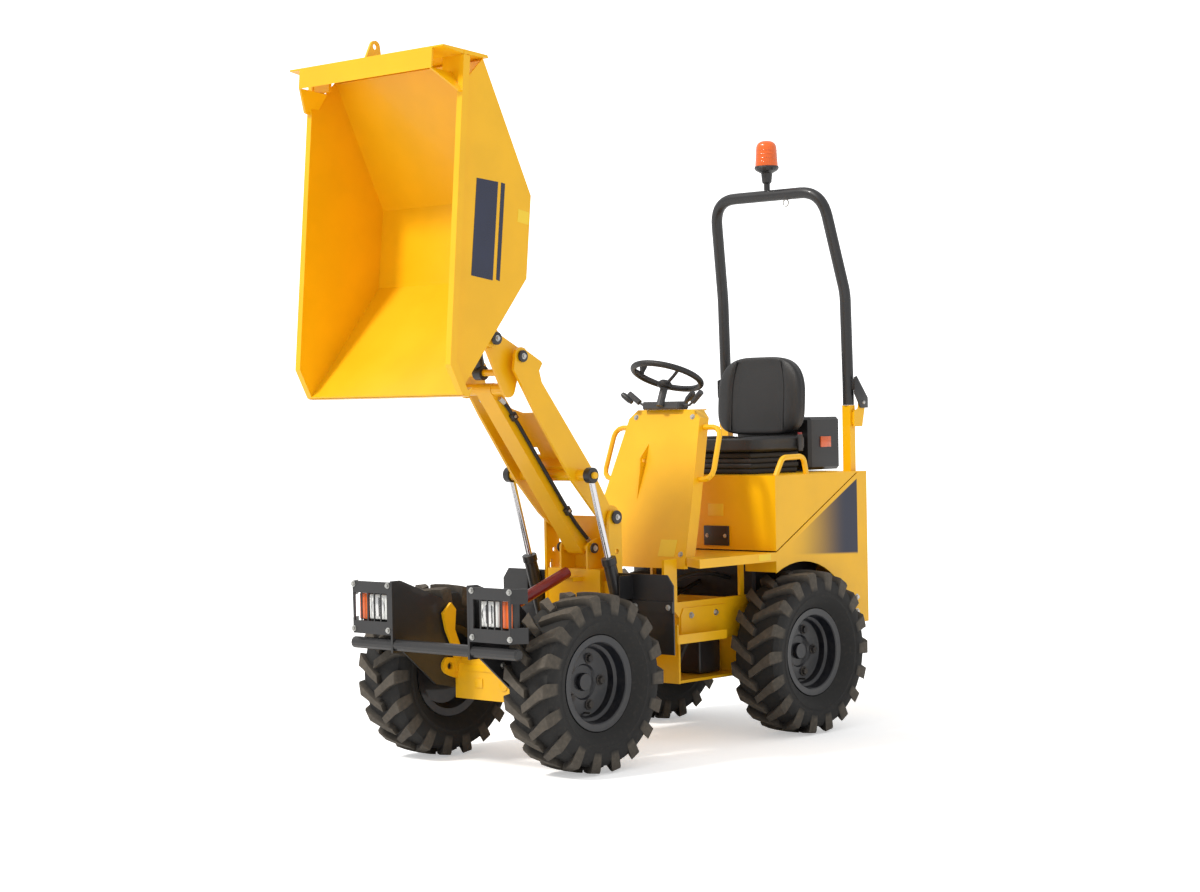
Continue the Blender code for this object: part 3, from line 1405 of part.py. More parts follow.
def make_step(side, hand):
    """A folded step bolted to the rail, with its tread plate and lip."""
    inner = RAIL_X + RAIL_PLATE + SEAT
    face = [
        (0.720, 0.405),
        (0.930, 0.405),
        (0.975, 0.470),
        (0.975, 0.535),
        (0.720, 0.535),
        (0.705, 0.505),
        (0.705, 0.430),
    ]
    plate = prism(face, *spread(side, inner, inner + 0.005))
    tread = [(inner, 0.625), (0.300, 0.625), (0.300, 0.915), (inner, 0.930)]
    tread = [(side * x, y) for x, y in tread]
    teeth = []
    for index in range(5):
        y = 0.665 + index * 0.045
        low_x, high_x = side * 0.258, side * 0.286
        teeth.append([(low_x, y), (high_x, y), (high_x, y + 0.028), (low_x, y + 0.028)])
    floor = prism(tread, 0.405, 0.410, "Z", teeth)
    lip = side_block(side, (0.295, 0.300), (0.625, 0.915), (0.406, 0.440))
    apron = side_block(side, (inner, 0.299), (0.620, 0.626), (0.406, 0.480))
    piece(f"side_step_{hand}", join(plate, floor, lip, apron), YELLOW, "rear_chassis")


def main():
    """Make every piece of the machine."""
    make_wheels()
    make_axle("front_axle", 0, "front_chassis")
    make_axle("rear_axle", WHEELBASE, "rear_chassis")
    make_front_frame()
    make_bumper()
    make_safety_prop()
    for side, hand in SIDES:
        make_lamp_guard(side, hand)
        make_headlamp(side, hand)
        make_mudguard(side, hand)
        make_link_hose(side, hand)
        make_step(side, hand)
    make_lift_arms()
    make_carrier()
    make_centre_link()
    make_lift_rams()
    make_tip_ram()
    make_skip()
    make_rear_frame()
    make_engine_block()
    make_platform()
    make_body_shell()
    make_roll_bar_base()
    make_roll_bar()
    make_beacon()
    make_engine_cover()
    make_seat()
    make_rear_box()
    make_console()
    make_steering_column()
    make_steering_wheel()


main()
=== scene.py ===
"""Looks of the site dumper: finishes, treads, rams, hoses, seat, lamps, pins and fasteners."""

import json
import logging
import math
from dataclasses import dataclass, field
from enum import Enum
from typing import Sequence

import bmesh
import bpy
from mathutils import Matrix, Vector


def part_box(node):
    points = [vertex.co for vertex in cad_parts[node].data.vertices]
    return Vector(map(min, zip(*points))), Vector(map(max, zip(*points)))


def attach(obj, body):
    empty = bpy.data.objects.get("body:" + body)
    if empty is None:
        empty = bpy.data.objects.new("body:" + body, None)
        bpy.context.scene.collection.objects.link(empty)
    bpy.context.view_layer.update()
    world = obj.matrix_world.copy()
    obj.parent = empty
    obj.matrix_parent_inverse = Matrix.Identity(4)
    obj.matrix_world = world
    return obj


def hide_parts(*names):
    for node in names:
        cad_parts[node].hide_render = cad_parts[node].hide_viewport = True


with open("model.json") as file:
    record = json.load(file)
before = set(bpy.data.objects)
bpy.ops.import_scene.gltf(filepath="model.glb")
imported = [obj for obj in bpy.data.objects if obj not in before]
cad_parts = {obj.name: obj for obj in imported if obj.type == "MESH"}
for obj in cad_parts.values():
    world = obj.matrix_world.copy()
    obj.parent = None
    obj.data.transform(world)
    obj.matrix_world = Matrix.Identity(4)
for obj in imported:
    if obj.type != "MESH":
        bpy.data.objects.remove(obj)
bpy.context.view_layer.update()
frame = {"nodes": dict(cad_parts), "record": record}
LOG = logging.getLogger("site_dumper")
SHIFT_Y = sum(corner.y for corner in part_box("tyre_front_left")) / 2
SIDES = ((1, "left"), (-1, "right"))
SHARP = math.radians(35)
Point = tuple[float, float, float]
Flat = tuple[float, float]


def place(x: float, y: float, z: float) -> Vector:
    """World place of a point given from the front axle.

    Args:
        x: Distance to the machine's left.
        y: Distance behind the front axle.
        z: Height above the ground.

    Returns:
        The point in the frame's coordinates.
    """
    return Vector((x, y + SHIFT_Y, z))


def middle(node: str) -> Vector:
    """Centre of a CAD node's box."""
    low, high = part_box(node)
    return (low + high) / 2


class Finish(Enum):
    """The named finishes; each value is its slot in the record, or its own name."""

    YELLOW = "yellow_paint"
    PANEL = "yellow_side_panel"
    BLACK = "black_paint"
    TYRE = "tyre_rubber"
    RIM = "rim_paint"
    CHROME = "chrome_rod"
    IRON = "cast_iron"
    VINYL = "black_vinyl"
    PLASTIC = "grey_plastic"
    GLASS = "lamp_glass"
    AMBER = "amber_lens"
    RED = "red_paint"
    HOSE = "hose_rubber"
    ZINC = "zinc_plate"
    NAVY = "navy_film"
    LABEL = "yellow_film"
    REFLECTOR = "mirror_bowl"


# ------------------------------------------------------------------ node graphs
@dataclass(frozen=True)
class Wire:
    """An output socket that takes part in arithmetic."""

    graph: "Graph"
    socket: bpy.types.NodeSocket

    def _math(self, operation: str, first: object, second: object = 0.0) -> "Wire":
        """Add one Math node."""
        return self.graph.add("ShaderNodeMath", {"operation": operation}, {0: first, 1: second})

    def __add__(self, other: object) -> "Wire":
        """Sum."""
        return self._math("ADD", self, other)

    def __sub__(self, other: object) -> "Wire":
        """Difference."""
        return self._math("SUBTRACT", self, other)

    def __rsub__(self, other: object) -> "Wire":
        """Reflected difference."""
        return self._math("SUBTRACT", other, self)

    def __mul__(self, other: object) -> "Wire":
        """Product."""
        return self._math("MULTIPLY", self, other)

    def __gt__(self, other: object) -> "Wire":
        """1 where greater."""
        return self._math("GREATER_THAN", self, other)

    __radd__ = __add__
    __rmul__ = __mul__

    def size(self) -> "Wire":
        """Absolute value."""
        return self._math("ABSOLUTE", self)

    def held(self) -> "Wire":
        """The value clamped to 0..1."""
        return self.graph.add("ShaderNodeClamp", {}, {0: self})

    def ramp(self, low: float, high: float) -> "Wire":
        """Smooth step from low to high.

        Args:
            low: Value that gives 0.
            high: Value that gives 1.

        Returns:
            The stepped value.
        """
        settings = {"interpolation_type": "SMOOTHSTEP"}
        return self.graph.add("ShaderNodeMapRange", settings, {0: self, 1: low, 2: high})


class Graph:
    """A node tree with one method that adds any node."""

    def __init__(self, tree: bpy.types.NodeTree) -> None:
        """Keep the tree to build in."""
        self.tree = tree

    def link(self, value: object, socket: bpy.types.NodeSocket) -> None:
        """Feed a socket with a wire or a constant."""
        if isinstance(value, Wire):
            self.tree.links.new(value.socket, socket)
        else:
            socket.default_value = value

    def node(self, kind: str, settings: dict, inputs: dict) -> bpy.types.Node:
        """Add a node.

        Args:
            kind: The node's type.
            settings: Attributes, set first.
            inputs: Values or wires by socket name or number.

        Returns:
            The new node.
        """
        made = self.tree.nodes.new(kind)
        for name, value in settings.items():
            setattr(made, name, value)
        for key, value in inputs.items():
            self.link(value, made.inputs[key])
        return made

    def add(self, kind: str, settings: dict, inputs: dict, output: object = 0) -> Wire:
        """Add a node and take one of its outputs."""
        return Wire(self, self.node(kind, settings, inputs).outputs[output])

    def mix(self, factor: object, first: object, second: object) -> Wire:
        """Blend two colours by a factor."""
        made = self.node("ShaderNodeMix", {"data_type": "RGBA"}, {0: factor, 6: first, 7: second})
        return Wire(self, made.outputs[2])


@dataclass(frozen=True)
class Coat:
    """A finish: its base colour, gloss, grain and how it weathers."""

    color: Point
    roughness: float
    metallic: float = 0.0
    coat: float = 0.0
    shade: float = 0.12
    grain: float = 260.0
    bump: float = 0.02
    dust: float = 0.0
    mottle: float = 6.0

    def build(self, name: str) -> bpy.types.Material:
        """Make the material.

        Args:
            name: The material's name.

        Returns:
            A procedural material on object coordinates.
        """
        material = bpy.data.materials.new(name)
        material.use_nodes = True
        graph = Graph(material.node_tree)
        shader = material.node_tree.nodes["Principled BSDF"]
        shader.inputs["Metallic"].default_value = self.metallic
        shader.inputs["Coat Weight"].default_value = self.coat
        spot = graph.add("ShaderNodeTexCoord", {}, {}, "Object")
        broad = graph.add("ShaderNodeTexNoise", {}, {"Vector": spot, "Scale": self.mottle, "Detail": 5.0})
        fine = graph.add("ShaderNodeTexNoise", {}, {"Vector": spot, "Scale": self.grain, "Detail": 2.0})
        color = self.paint(graph, spot, broad)
        rough = self.roughness + (broad - 0.5) * 0.16 + (fine - 0.5) * 0.06
        if self.dust:
            color, rough = self.soiled(graph, spot, broad, color, rough)
        graph.link(color, shader.inputs["Base Color"])
        graph.link(rough.held(), shader.inputs["Roughness"])
        relief = self.relief(graph, spot, fine)
        sockets = {"Strength": 0.35, "Distance": self.bump * 0.01, "Height": relief}
        bump = graph.add("ShaderNodeBump", {}, sockets)
        graph.link(bump, shader.inputs["Normal"])
        return material

    def paint(self, graph: Graph, spot: Wire, broad: Wire) -> Wire:
        """Base colour with a soft variation."""
        deep = tuple(part * (1 - self.shade) for part in self.color)
        return graph.mix(broad.ramp(0.3, 0.7), (*deep, 1), (*self.color, 1))

    def relief(self, graph: Graph, spot: Wire, fine: Wire) -> Wire:
        """Height of the surface's texture."""
        return fine

    def soiled(self, graph: Graph, spot: Wire, broad: Wire, color: Wire, rough: Wire) -> tuple[Wire, Wire]:
        """Pale dust that gathers low down.

        Args:
            graph: The tree.
            spot: Object coordinates.
            broad: The broad noise.
            color: The clean colour.
            rough: The clean roughness.

        Returns:
            The dusty colour and roughness.
        """
        height = graph.add("ShaderNodeSeparateXYZ", {}, {0: spot}, 2)
        specks = graph.add("ShaderNodeTexNoise", {}, {"Vector": spot, "Scale": 38.0, "Detail": 8.0})
        low = 1 - height.ramp(0.1, 0.9)
        mask = ((specks - 0.42) * 2.2 + low * 0.5).held() * self.dust * low
        return graph.mix(mask.held(), color, (*DUST, 1)), rough + mask * 0.35


@dataclass(frozen=True)
class SidePanel(Coat):
    """Yellow enamel with the dark film that fades in under the diagonal split."""

    def paint(self, graph: Graph, spot: Wire, broad: Wire) -> Wire:
        """Yellow, with the dark wedge towards the rear."""
        yellow = super().paint(graph, spot, broad)
        parts = graph.node("ShaderNodeSeparateXYZ", {}, {0: spot})
        side, along, height = (Wire(graph, socket) for socket in parts.outputs)
        back = along - (1.12 + SHIFT_Y)
        over = height - (0.718 - back * 0.04)
        side_only = side.size() > 0.3985
        fade = back.ramp(0.06, 0.46) * over.ramp(0.0, 0.012) * (1 - back.ramp(0.530, 0.534))
        under = 1 - (height - (0.722 + back * 0.545)).ramp(-0.004, 0.0)
        return graph.mix((fade * side_only * under).held(), yellow, (0.006, 0.010, 0.035, 1))


@dataclass(frozen=True)
class Tread(Coat):
    """Black rubber with tan dirt on the lug faces."""

    def paint(self, graph: Graph, spot: Wire, broad: Wire) -> Wire:
        """Black rubber, dusty where the grit attribute is high."""
        black = super().paint(graph, spot, broad)
        grit = graph.add("ShaderNodeAttribute", {"attribute_name": "grit"}, {}, "Fac")
        specks = graph.add("ShaderNodeTexNoise", {}, {"Vector": spot, "Scale": 60.0, "Detail": 8.0})
        amount = grit * (0.35 + specks * 0.75) + (specks.ramp(0.5, 0.75)) * 0.10
        return graph.mix((amount * 0.62).held(), black, (*DUST, 1))


@dataclass(frozen=True)
class Hide(Coat):
    """Vinyl with a pebbled grain."""

    def relief(self, graph: Graph, spot: Wire, fine: Wire) -> Wire:
        """Cells between fine creases."""
        cells = graph.add(
            "ShaderNodeTexVoronoi", {"feature": "DISTANCE_TO_EDGE"}, {"Vector": spot, "Scale": 420.0}
        )
        return cells.ramp(0.0, 0.25) + fine * 0.3


@dataclass(frozen=True)
class Brushed(Coat):
    """Metal with fine lines across one direction."""

    def relief(self, graph: Graph, spot: Wire, fine: Wire) -> Wire:
        """Stretched noise."""
        lines = graph.add("ShaderNodeMapping", {}, {"Vector": spot, "Scale": (40.0, 40.0, 900.0)})
        return graph.add("ShaderNodeTexNoise", {}, {"Vector": lines, "Scale": 1.0, "Detail": 3.0})


@dataclass(frozen=True)
class Ribbed(Coat):
    """Lens with moulded flutes."""

    def relief(self, graph: Graph, spot: Wire, fine: Wire) -> Wire:
        """Upright ribs."""
        return graph.add("ShaderNodeTexWave", {"bands_direction": "X"}, {"Vector": spot, "Scale": 55.0})


DUST = (0.15, 0.125, 0.095)
YELLOW_RGB = (0.92, 0.49, 0.0)
COATS: dict[Finish, Coat] = {
    Finish.YELLOW: Coat(YELLOW_RGB, 0.38, coat=0.1, shade=0.07, dust=0.10),
    Finish.PANEL: SidePanel(YELLOW_RGB, 0.38, coat=0.1, shade=0.07, dust=0.10),
    Finish.BLACK: Coat((0.018, 0.018, 0.020), 0.42, coat=0.2, shade=0.25, dust=0.06, bump=0.03),
    Finish.TYRE: Tread((0.016, 0.0155, 0.015), 0.82, shade=0.3, grain=180.0, bump=0.06),
    Finish.RIM: Coat((0.006, 0.008, 0.014), 0.36, coat=0.3, shade=0.3, dust=0.10, bump=0.02),
    Finish.CHROME: Brushed((0.72, 0.72, 0.74), 0.16, metallic=1.0, shade=0.05, bump=0.004),
    Finish.IRON: Coat((0.045, 0.045, 0.050), 0.62, metallic=0.4, shade=0.3, grain=120.0, bump=0.1, dust=0.5),
    Finish.VINYL: Hide((0.016, 0.016, 0.017), 0.46, shade=0.2, bump=0.05),
    Finish.PLASTIC: Coat((0.055, 0.056, 0.060), 0.52, shade=0.15, grain=500.0, bump=0.04),
    Finish.GLASS: Ribbed((0.86, 0.87, 0.85), 0.12, coat=0.6, shade=0.1, bump=0.06),
    Finish.AMBER: Ribbed((0.85, 0.13, 0.001), 0.16, coat=0.7, shade=0.25, bump=0.06),
    Finish.RED: Coat((0.24, 0.004, 0.006), 0.38, coat=0.3, shade=0.2),
    Finish.HOSE: Coat((0.018, 0.018, 0.019), 0.6, shade=0.3, grain=700.0, bump=0.08, dust=0.3),
    Finish.ZINC: Coat((0.62, 0.62, 0.60), 0.34, metallic=0.9, shade=0.25, grain=300.0),
    Finish.NAVY: Coat((0.008, 0.014, 0.050), 0.3, coat=0.4, shade=0.2),
    Finish.LABEL: Coat((0.92, 0.62, 0.03), 0.45, shade=0.06),
    Finish.REFLECTOR: Coat((0.80, 0.80, 0.80), 0.15, metallic=1.0, shade=0.1),
}


@dataclass
class Paints:
    """Materials made once for each finish."""

    made: dict[Finish, bpy.types.Material] = field(default_factory=dict)

    def get(self, finish: Finish) -> bpy.types.Material:
        """The material of a finish."""
        if finish not in self.made:
            self.made[finish] = COATS[finish].build("fin_" + finish.value)
        return self.made[finish]


PAINTS = Paints()


# ------------------------------------------------------------------ mesh pieces
class Piece:
    """Shapes gathered into one mesh that rides on one body."""

    def __init__(self, name: str, body: str) -> None:
        """Start an empty piece.

        Args:
            name: The piece's name.
            body: The CAD body that it rides on.
        """
        self.name = name
        self.body = body
        self.mesh = bpy.data.meshes.new(name)
        self.work = bmesh.new()
        self.finishes: list[Finish] = []

    def take(self, part: bmesh.types.BMesh, finish: Finish, turn: Matrix = Matrix()) -> None:
        """Merge a shape in, outward facing, with its finish.

        Args:
            part: The closed shape, which is freed.
            finish: Its finish.
            turn: Where it goes.
        """
        if finish not in self.finishes:
            self.finishes.append(finish)
        part.transform(turn)
        bmesh.ops.recalc_face_normals(part, faces=part.faces)
        for face in part.faces:
            face.material_index = self.finishes.index(finish)
            face.smooth = True
        spare = bpy.data.meshes.new("spare")
        part.to_mesh(spare)
        part.free()
        self.work.from_mesh(spare)
        bpy.data.meshes.remove(spare)

    def lathe(
        self, profile: Sequence[Flat], turn: Matrix, finish: Finish, steps: int = 48, ring: bool = False
    ) -> None:
        """Turn (radius, height) points about local Z.

        Args:
            profile: The outline; a radius of 0 closes a pole.
            turn: Where it goes.
            finish: Its finish.
            steps: Sides around.
            ring: True where the outline closes on itself.
        """
        part = bmesh.new()
        rings = []
        for radius, height in profile:
            count = steps if radius > 1e-6 else 1
            angles = [2 * math.pi * index / steps for index in range(count)]
            rings.append(
                [part.verts.new((radius * math.cos(a), radius * math.sin(a), height)) for a in angles]
            )
        pairs = list(zip(rings, rings[1:]))
        if ring:
            pairs.append((rings[-1], rings[0]))
        for upper, lower in pairs:
            for index in range(steps):
                after = (index + 1) % steps
                corners = [
                    upper[index % len(upper)],
                    upper[after % len(upper)],
                    lower[after % len(lower)],
                    lower[index % len(lower)],
                ]
                corners = list(dict.fromkeys(corners))
                if len(corners) > 2:
                    part.faces.new(corners)
        self.take(part, finish, turn)

    def disc(self, center: Vector, facing: Vector, radius: float, depth: float, finish: Finish) -> None:
        """A pin head or cap with a rounded edge, standing out of a face."""
        soft = min(radius, depth) * 0.3
        profile = [
            (0, depth),
            (radius - soft, depth),
            (radius - soft * 0.3, depth - soft * 0.3),
            (radius, depth - soft),
            (radius, 0),
            (0, 0),
        ]
        turn = Matrix.Translation(center) @ facing.to_track_quat("Z", "Y").to_matrix().to_4x4()
        self.lathe(profile, turn, finish, 32)

    def sweep(self, points: Sequence[Vector], radius: float, finish: Finish, steps: int = 12) -> None:
        """A round bar along a path.

        Args:
            points: The path.
            radius: The bar's radius.
            finish: Its finish.
            steps: Sides around.
        """
        part = bmesh.new()
        path = [Vector(point) for point in points]
        normal = (path[1] - path[0]).orthogonal().normalized()
        rings = []
        for index, point in enumerate(path):
            ahead = path[min(index + 1, len(path) - 1)] - path[max(index - 1, 0)]
            ahead.normalize()
            normal = (normal - ahead * normal.dot(ahead)).normalized()
            across = ahead.cross(normal)
            circle = []
            for step in range(steps):
                angle = 2 * math.pi * step / steps
                offset = normal * math.cos(angle) + across * math.sin(angle)
                circle.append(part.verts.new(point + offset * radius))
            rings.append(circle)
        for first, second in zip(rings, rings[1:]):
            for step in range(steps):
                after = (step + 1) % steps
                part.faces.new((first[step], first[after], second[after], second[step]))
        part.faces.new(rings[0][::-1])
        part.faces.new(rings[-1])
        self.take(part, finish)

    def box(
        self, low: Vector, high: Vector, finish: Finish, bevel: float = 0.003, turn: Matrix = Matrix()
    ) -> None:
        """A box with rounded edges between two corners."""
        part = bmesh.new()
        bmesh.ops.create_cube(part, size=1)
        low, high = Vector(low), Vector(high)
        size = Vector(abs(value) for value in high - low)
        part.transform(Matrix.Translation((low + high) / 2) @ Matrix.Diagonal((*size, 1)))
        bmesh.ops.bevel(part, geom=part.edges[:], offset=bevel, segments=3, profile=0.5, affect="EDGES")
        self.take(part, finish, turn)

    def plate(self, outline: Sequence[Vector], lift: Vector, finish: Finish, bevel: float = 0.0) -> None:
        """A flat outline given a thickness.

        Args:
            outline: Its corners in space.
            lift: The way and distance it is thickened.
            finish: Its finish.
            bevel: Edge rounding.
        """
        part = bmesh.new()
        bottom = [part.verts.new(point) for point in outline]
        top = [part.verts.new(Vector(point) + lift) for point in outline]
        part.faces.new(bottom[::-1])
        part.faces.new(top)
        for index in range(len(bottom)):
            after = (index + 1) % len(bottom)
            part.faces.new((bottom[index], bottom[after], top[after], top[index]))
        if bevel:
            bmesh.ops.bevel(part, geom=part.edges[:], offset=bevel, segments=2, profile=0.5, affect="EDGES")
        self.take(part, finish)

    def done(self, replaced: Sequence[str] = ()) -> bpy.types.Object:
        """Finish the piece and hang it on its body.

        Args:
            replaced: CAD nodes that it stands for.

        Returns:
            The finished object.
        """
        self.work.to_mesh(self.mesh)
        self.work.free()
        for finish in self.finishes:
            self.mesh.materials.append(PAINTS.get(finish))
        self.mesh.set_sharp_from_angle(angle=SHARP)
        return settle(self.mesh, self.name, self.body, replaced)


def settle(
    mesh: bpy.types.Mesh, name: str, body: str, replaced: Sequence[str] = ()
) -> bpy.types.Object:
    """Make a mesh a piece of the machine.

    Args:
        mesh: The mesh, in the frame's coordinates.
        name: The piece's name.
        body: The body that it rides on.
        replaced: CAD nodes that it stands for.

    Returns:
        The object.
    """
    made = bpy.data.objects.new(name, mesh)
    bpy.context.scene.collection.objects.link(made)
    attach(made, body)
    if replaced:
        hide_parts(*replaced)
    LOG.info("%s rides on %s: %d faces", name, body, len(mesh.polygons))
    return made


def rounded(points: Sequence[Vector], radius: float, steps: int = 6) -> list[Vector]:
    """A path whose inner corners are rounded.

    Args:
        points: The corners.
        radius: Rounding distance along each leg.
        steps: Points on each corner.

    Returns:
        The smooth path.
    """
    path = [Vector(points[0])]
    for before, corner, after in zip(points, points[1:], points[2:]):
        corner = Vector(corner)
        first, last = Vector(before) - corner, Vector(after) - corner
        start = corner + first.normalized() * min(radius, first.length * 0.49)
        stop = corner + last.normalized() * min(radius, last.length * 0.49)
        for step in range(steps + 1):
            share = step / steps
            path.append(start.lerp(corner, share).lerp(corner.lerp(stop, share), share))
    path.append(Vector(points[-1]))
    return path


# ------------------------------------------------------------------ repeats by Geometry Nodes
class NodeShape:
    """A Geometry Nodes tree whose result becomes a plain mesh."""

    def __init__(self, name: str, sizes: dict[str, str]) -> None:
        """Make the tree and its named inputs.

        Args:
            name: The tree's name.
            sizes: Input names and their socket types.
        """
        self.tree = bpy.data.node_groups.new(name, "GeometryNodeTree")
        face = self.tree.interface
        face.new_socket("Geometry", in_out="INPUT", socket_type="NodeSocketGeometry")
        self.keys = {}
        for size, kind in sizes.items():
            self.keys[size] = face.new_socket(size, in_out="INPUT", socket_type=kind).identifier
        face.new_socket("Geometry", in_out="OUTPUT", socket_type="NodeSocketGeometry")
        self.graph = Graph(self.tree)
        self.entry = self.tree.nodes.new("NodeGroupInput")

    def size(self, name: str) -> Wire:
        """One of the named inputs."""
        return Wire(self.graph, self.entry.outputs[name])

    def close(self, instances: Wire) -> None:
        """Realize the instances, give them the material and end the tree."""
        solid = self.graph.add("GeometryNodeRealizeInstances", {}, {0: instances})
        painted = self.graph.add("GeometryNodeSetMaterial", {}, {0: solid, "Material": self.size("Material")})
        self.graph.node("NodeGroupOutput", {}, {0: painted})

    def grow(self, seed: bpy.types.Mesh, name: str, values: dict[str, object]) -> bpy.types.Mesh:
        """Run the tree on a mesh.

        Args:
            seed: The mesh that the tree starts from.
            name: The new mesh's name.
            values: Values of the named inputs.

        Returns:
            The result as a plain mesh.
        """
        holder = bpy.data.objects.new("holder", seed)
        bpy.context.scene.collection.objects.link(holder)
        modifier = holder.modifiers.new("Shape", "NODES")
        modifier.node_group = self.tree
        for key, value in values.items():
            modifier[self.keys[key]] = value
        bpy.context.view_layer.update()
        graph = bpy.context.evaluated_depsgraph_get()
        mesh = bpy.data.meshes.new_from_object(holder.evaluated_get(graph))
        mesh.name = name
        bpy.data.objects.remove(holder, do_unlink=True)
        return mesh


class BoltSet(NodeShape):
    """Hexagon heads on washers at points that carry the way they face."""

    def __init__(self) -> None:
        """Build the tree."""
        super().__init__(
            "bolts_at_points",
            {"Radius": "NodeSocketFloat", "Height": "NodeSocketFloat", "Material": "NodeSocketMaterial"},
        )
        graph, radius, height = self.graph, self.size("Radius"), self.size("Height")
        head = graph.add("GeometryNodeMeshCylinder", {}, {"Vertices": 6, "Radius": radius, "Depth": height})
        up = graph.add("ShaderNodeCombineXYZ", {}, {"Z": height * 0.7})
        head = graph.add("GeometryNodeTransform", {}, {"Geometry": head, "Translation": up})
        washer = graph.add(
            "GeometryNodeMeshCylinder", {}, {"Vertices": 20, "Radius": radius * 1.5, "Depth": height * 0.4}
        )
        join = graph.node("GeometryNodeJoinGeometry", {}, {})
        for shape in (head, washer):
            self.tree.links.new(shape.socket, join.inputs[0])
        points = graph.add("GeometryNodeMeshToPoints", {}, {0: self.size("Geometry")})
        facing = graph.add(
            "GeometryNodeInputNamedAttribute", {"data_type": "FLOAT_VECTOR"}, {"Name": "facing"}
        )
        turn = graph.add("FunctionNodeAlignRotationToVector", {"axis": "Z"}, {"Vector": facing})
        spots = {"Points": points, "Instance": Wire(graph, join.outputs[0]), "Rotation": turn}
        self.close(graph.add("GeometryNodeInstanceOnPoints", {}, spots))

    def fit(
        self, name: str, body: str, spots: Sequence[tuple[Vector, Vector]], radius: float, finish: Finish
    ) -> None:
        """Set bolts at places.

        Args:
            name: The piece's name.
            body: The body that they are on.
            spots: Places and the ways they face.
            radius: Half the width across the head's corners.
            finish: Their finish.
        """
        seed = bpy.data.meshes.new("spots")
        seed.from_pydata([tuple(spot) for spot, _ in spots], [], [])
        ways = seed.attributes.new("facing", "FLOAT_VECTOR", "POINT")
        for index, (_, way) in enumerate(spots):
            ways.data[index].vector = way
        values = {"Radius": radius, "Height": radius * 0.85, "Material": PAINTS.get(finish)}
        settle(self.grow(seed, name, values), name, body)


class LugRing(NodeShape):
    """Copies of a pattern about the X axis."""

    def __init__(self) -> None:
        """Build the tree."""
        super().__init__("lugs_round_wheel", {"Count": "NodeSocketInt", "Material": "NodeSocketMaterial"})
        graph, count = self.graph, self.size("Count")
        points = graph.add("GeometryNodePoints", {}, {"Count": count})
        index = graph.add("GeometryNodeInputIndex", {}, {})
        share = graph.add("ShaderNodeMath", {"operation": "DIVIDE"}, {0: index, 1: count})
        angle = graph.add("ShaderNodeCombineXYZ", {}, {"X": share * (2 * math.pi)})
        turn = graph.add("FunctionNodeEulerToRotation", {}, {0: angle})
        spots = {"Points": points, "Instance": self.size("Geometry"), "Rotation": turn}
        self.close(graph.add("GeometryNodeInstanceOnPoints", {}, spots))


BOLTS = BoltSet()
LUGS = LugRing()


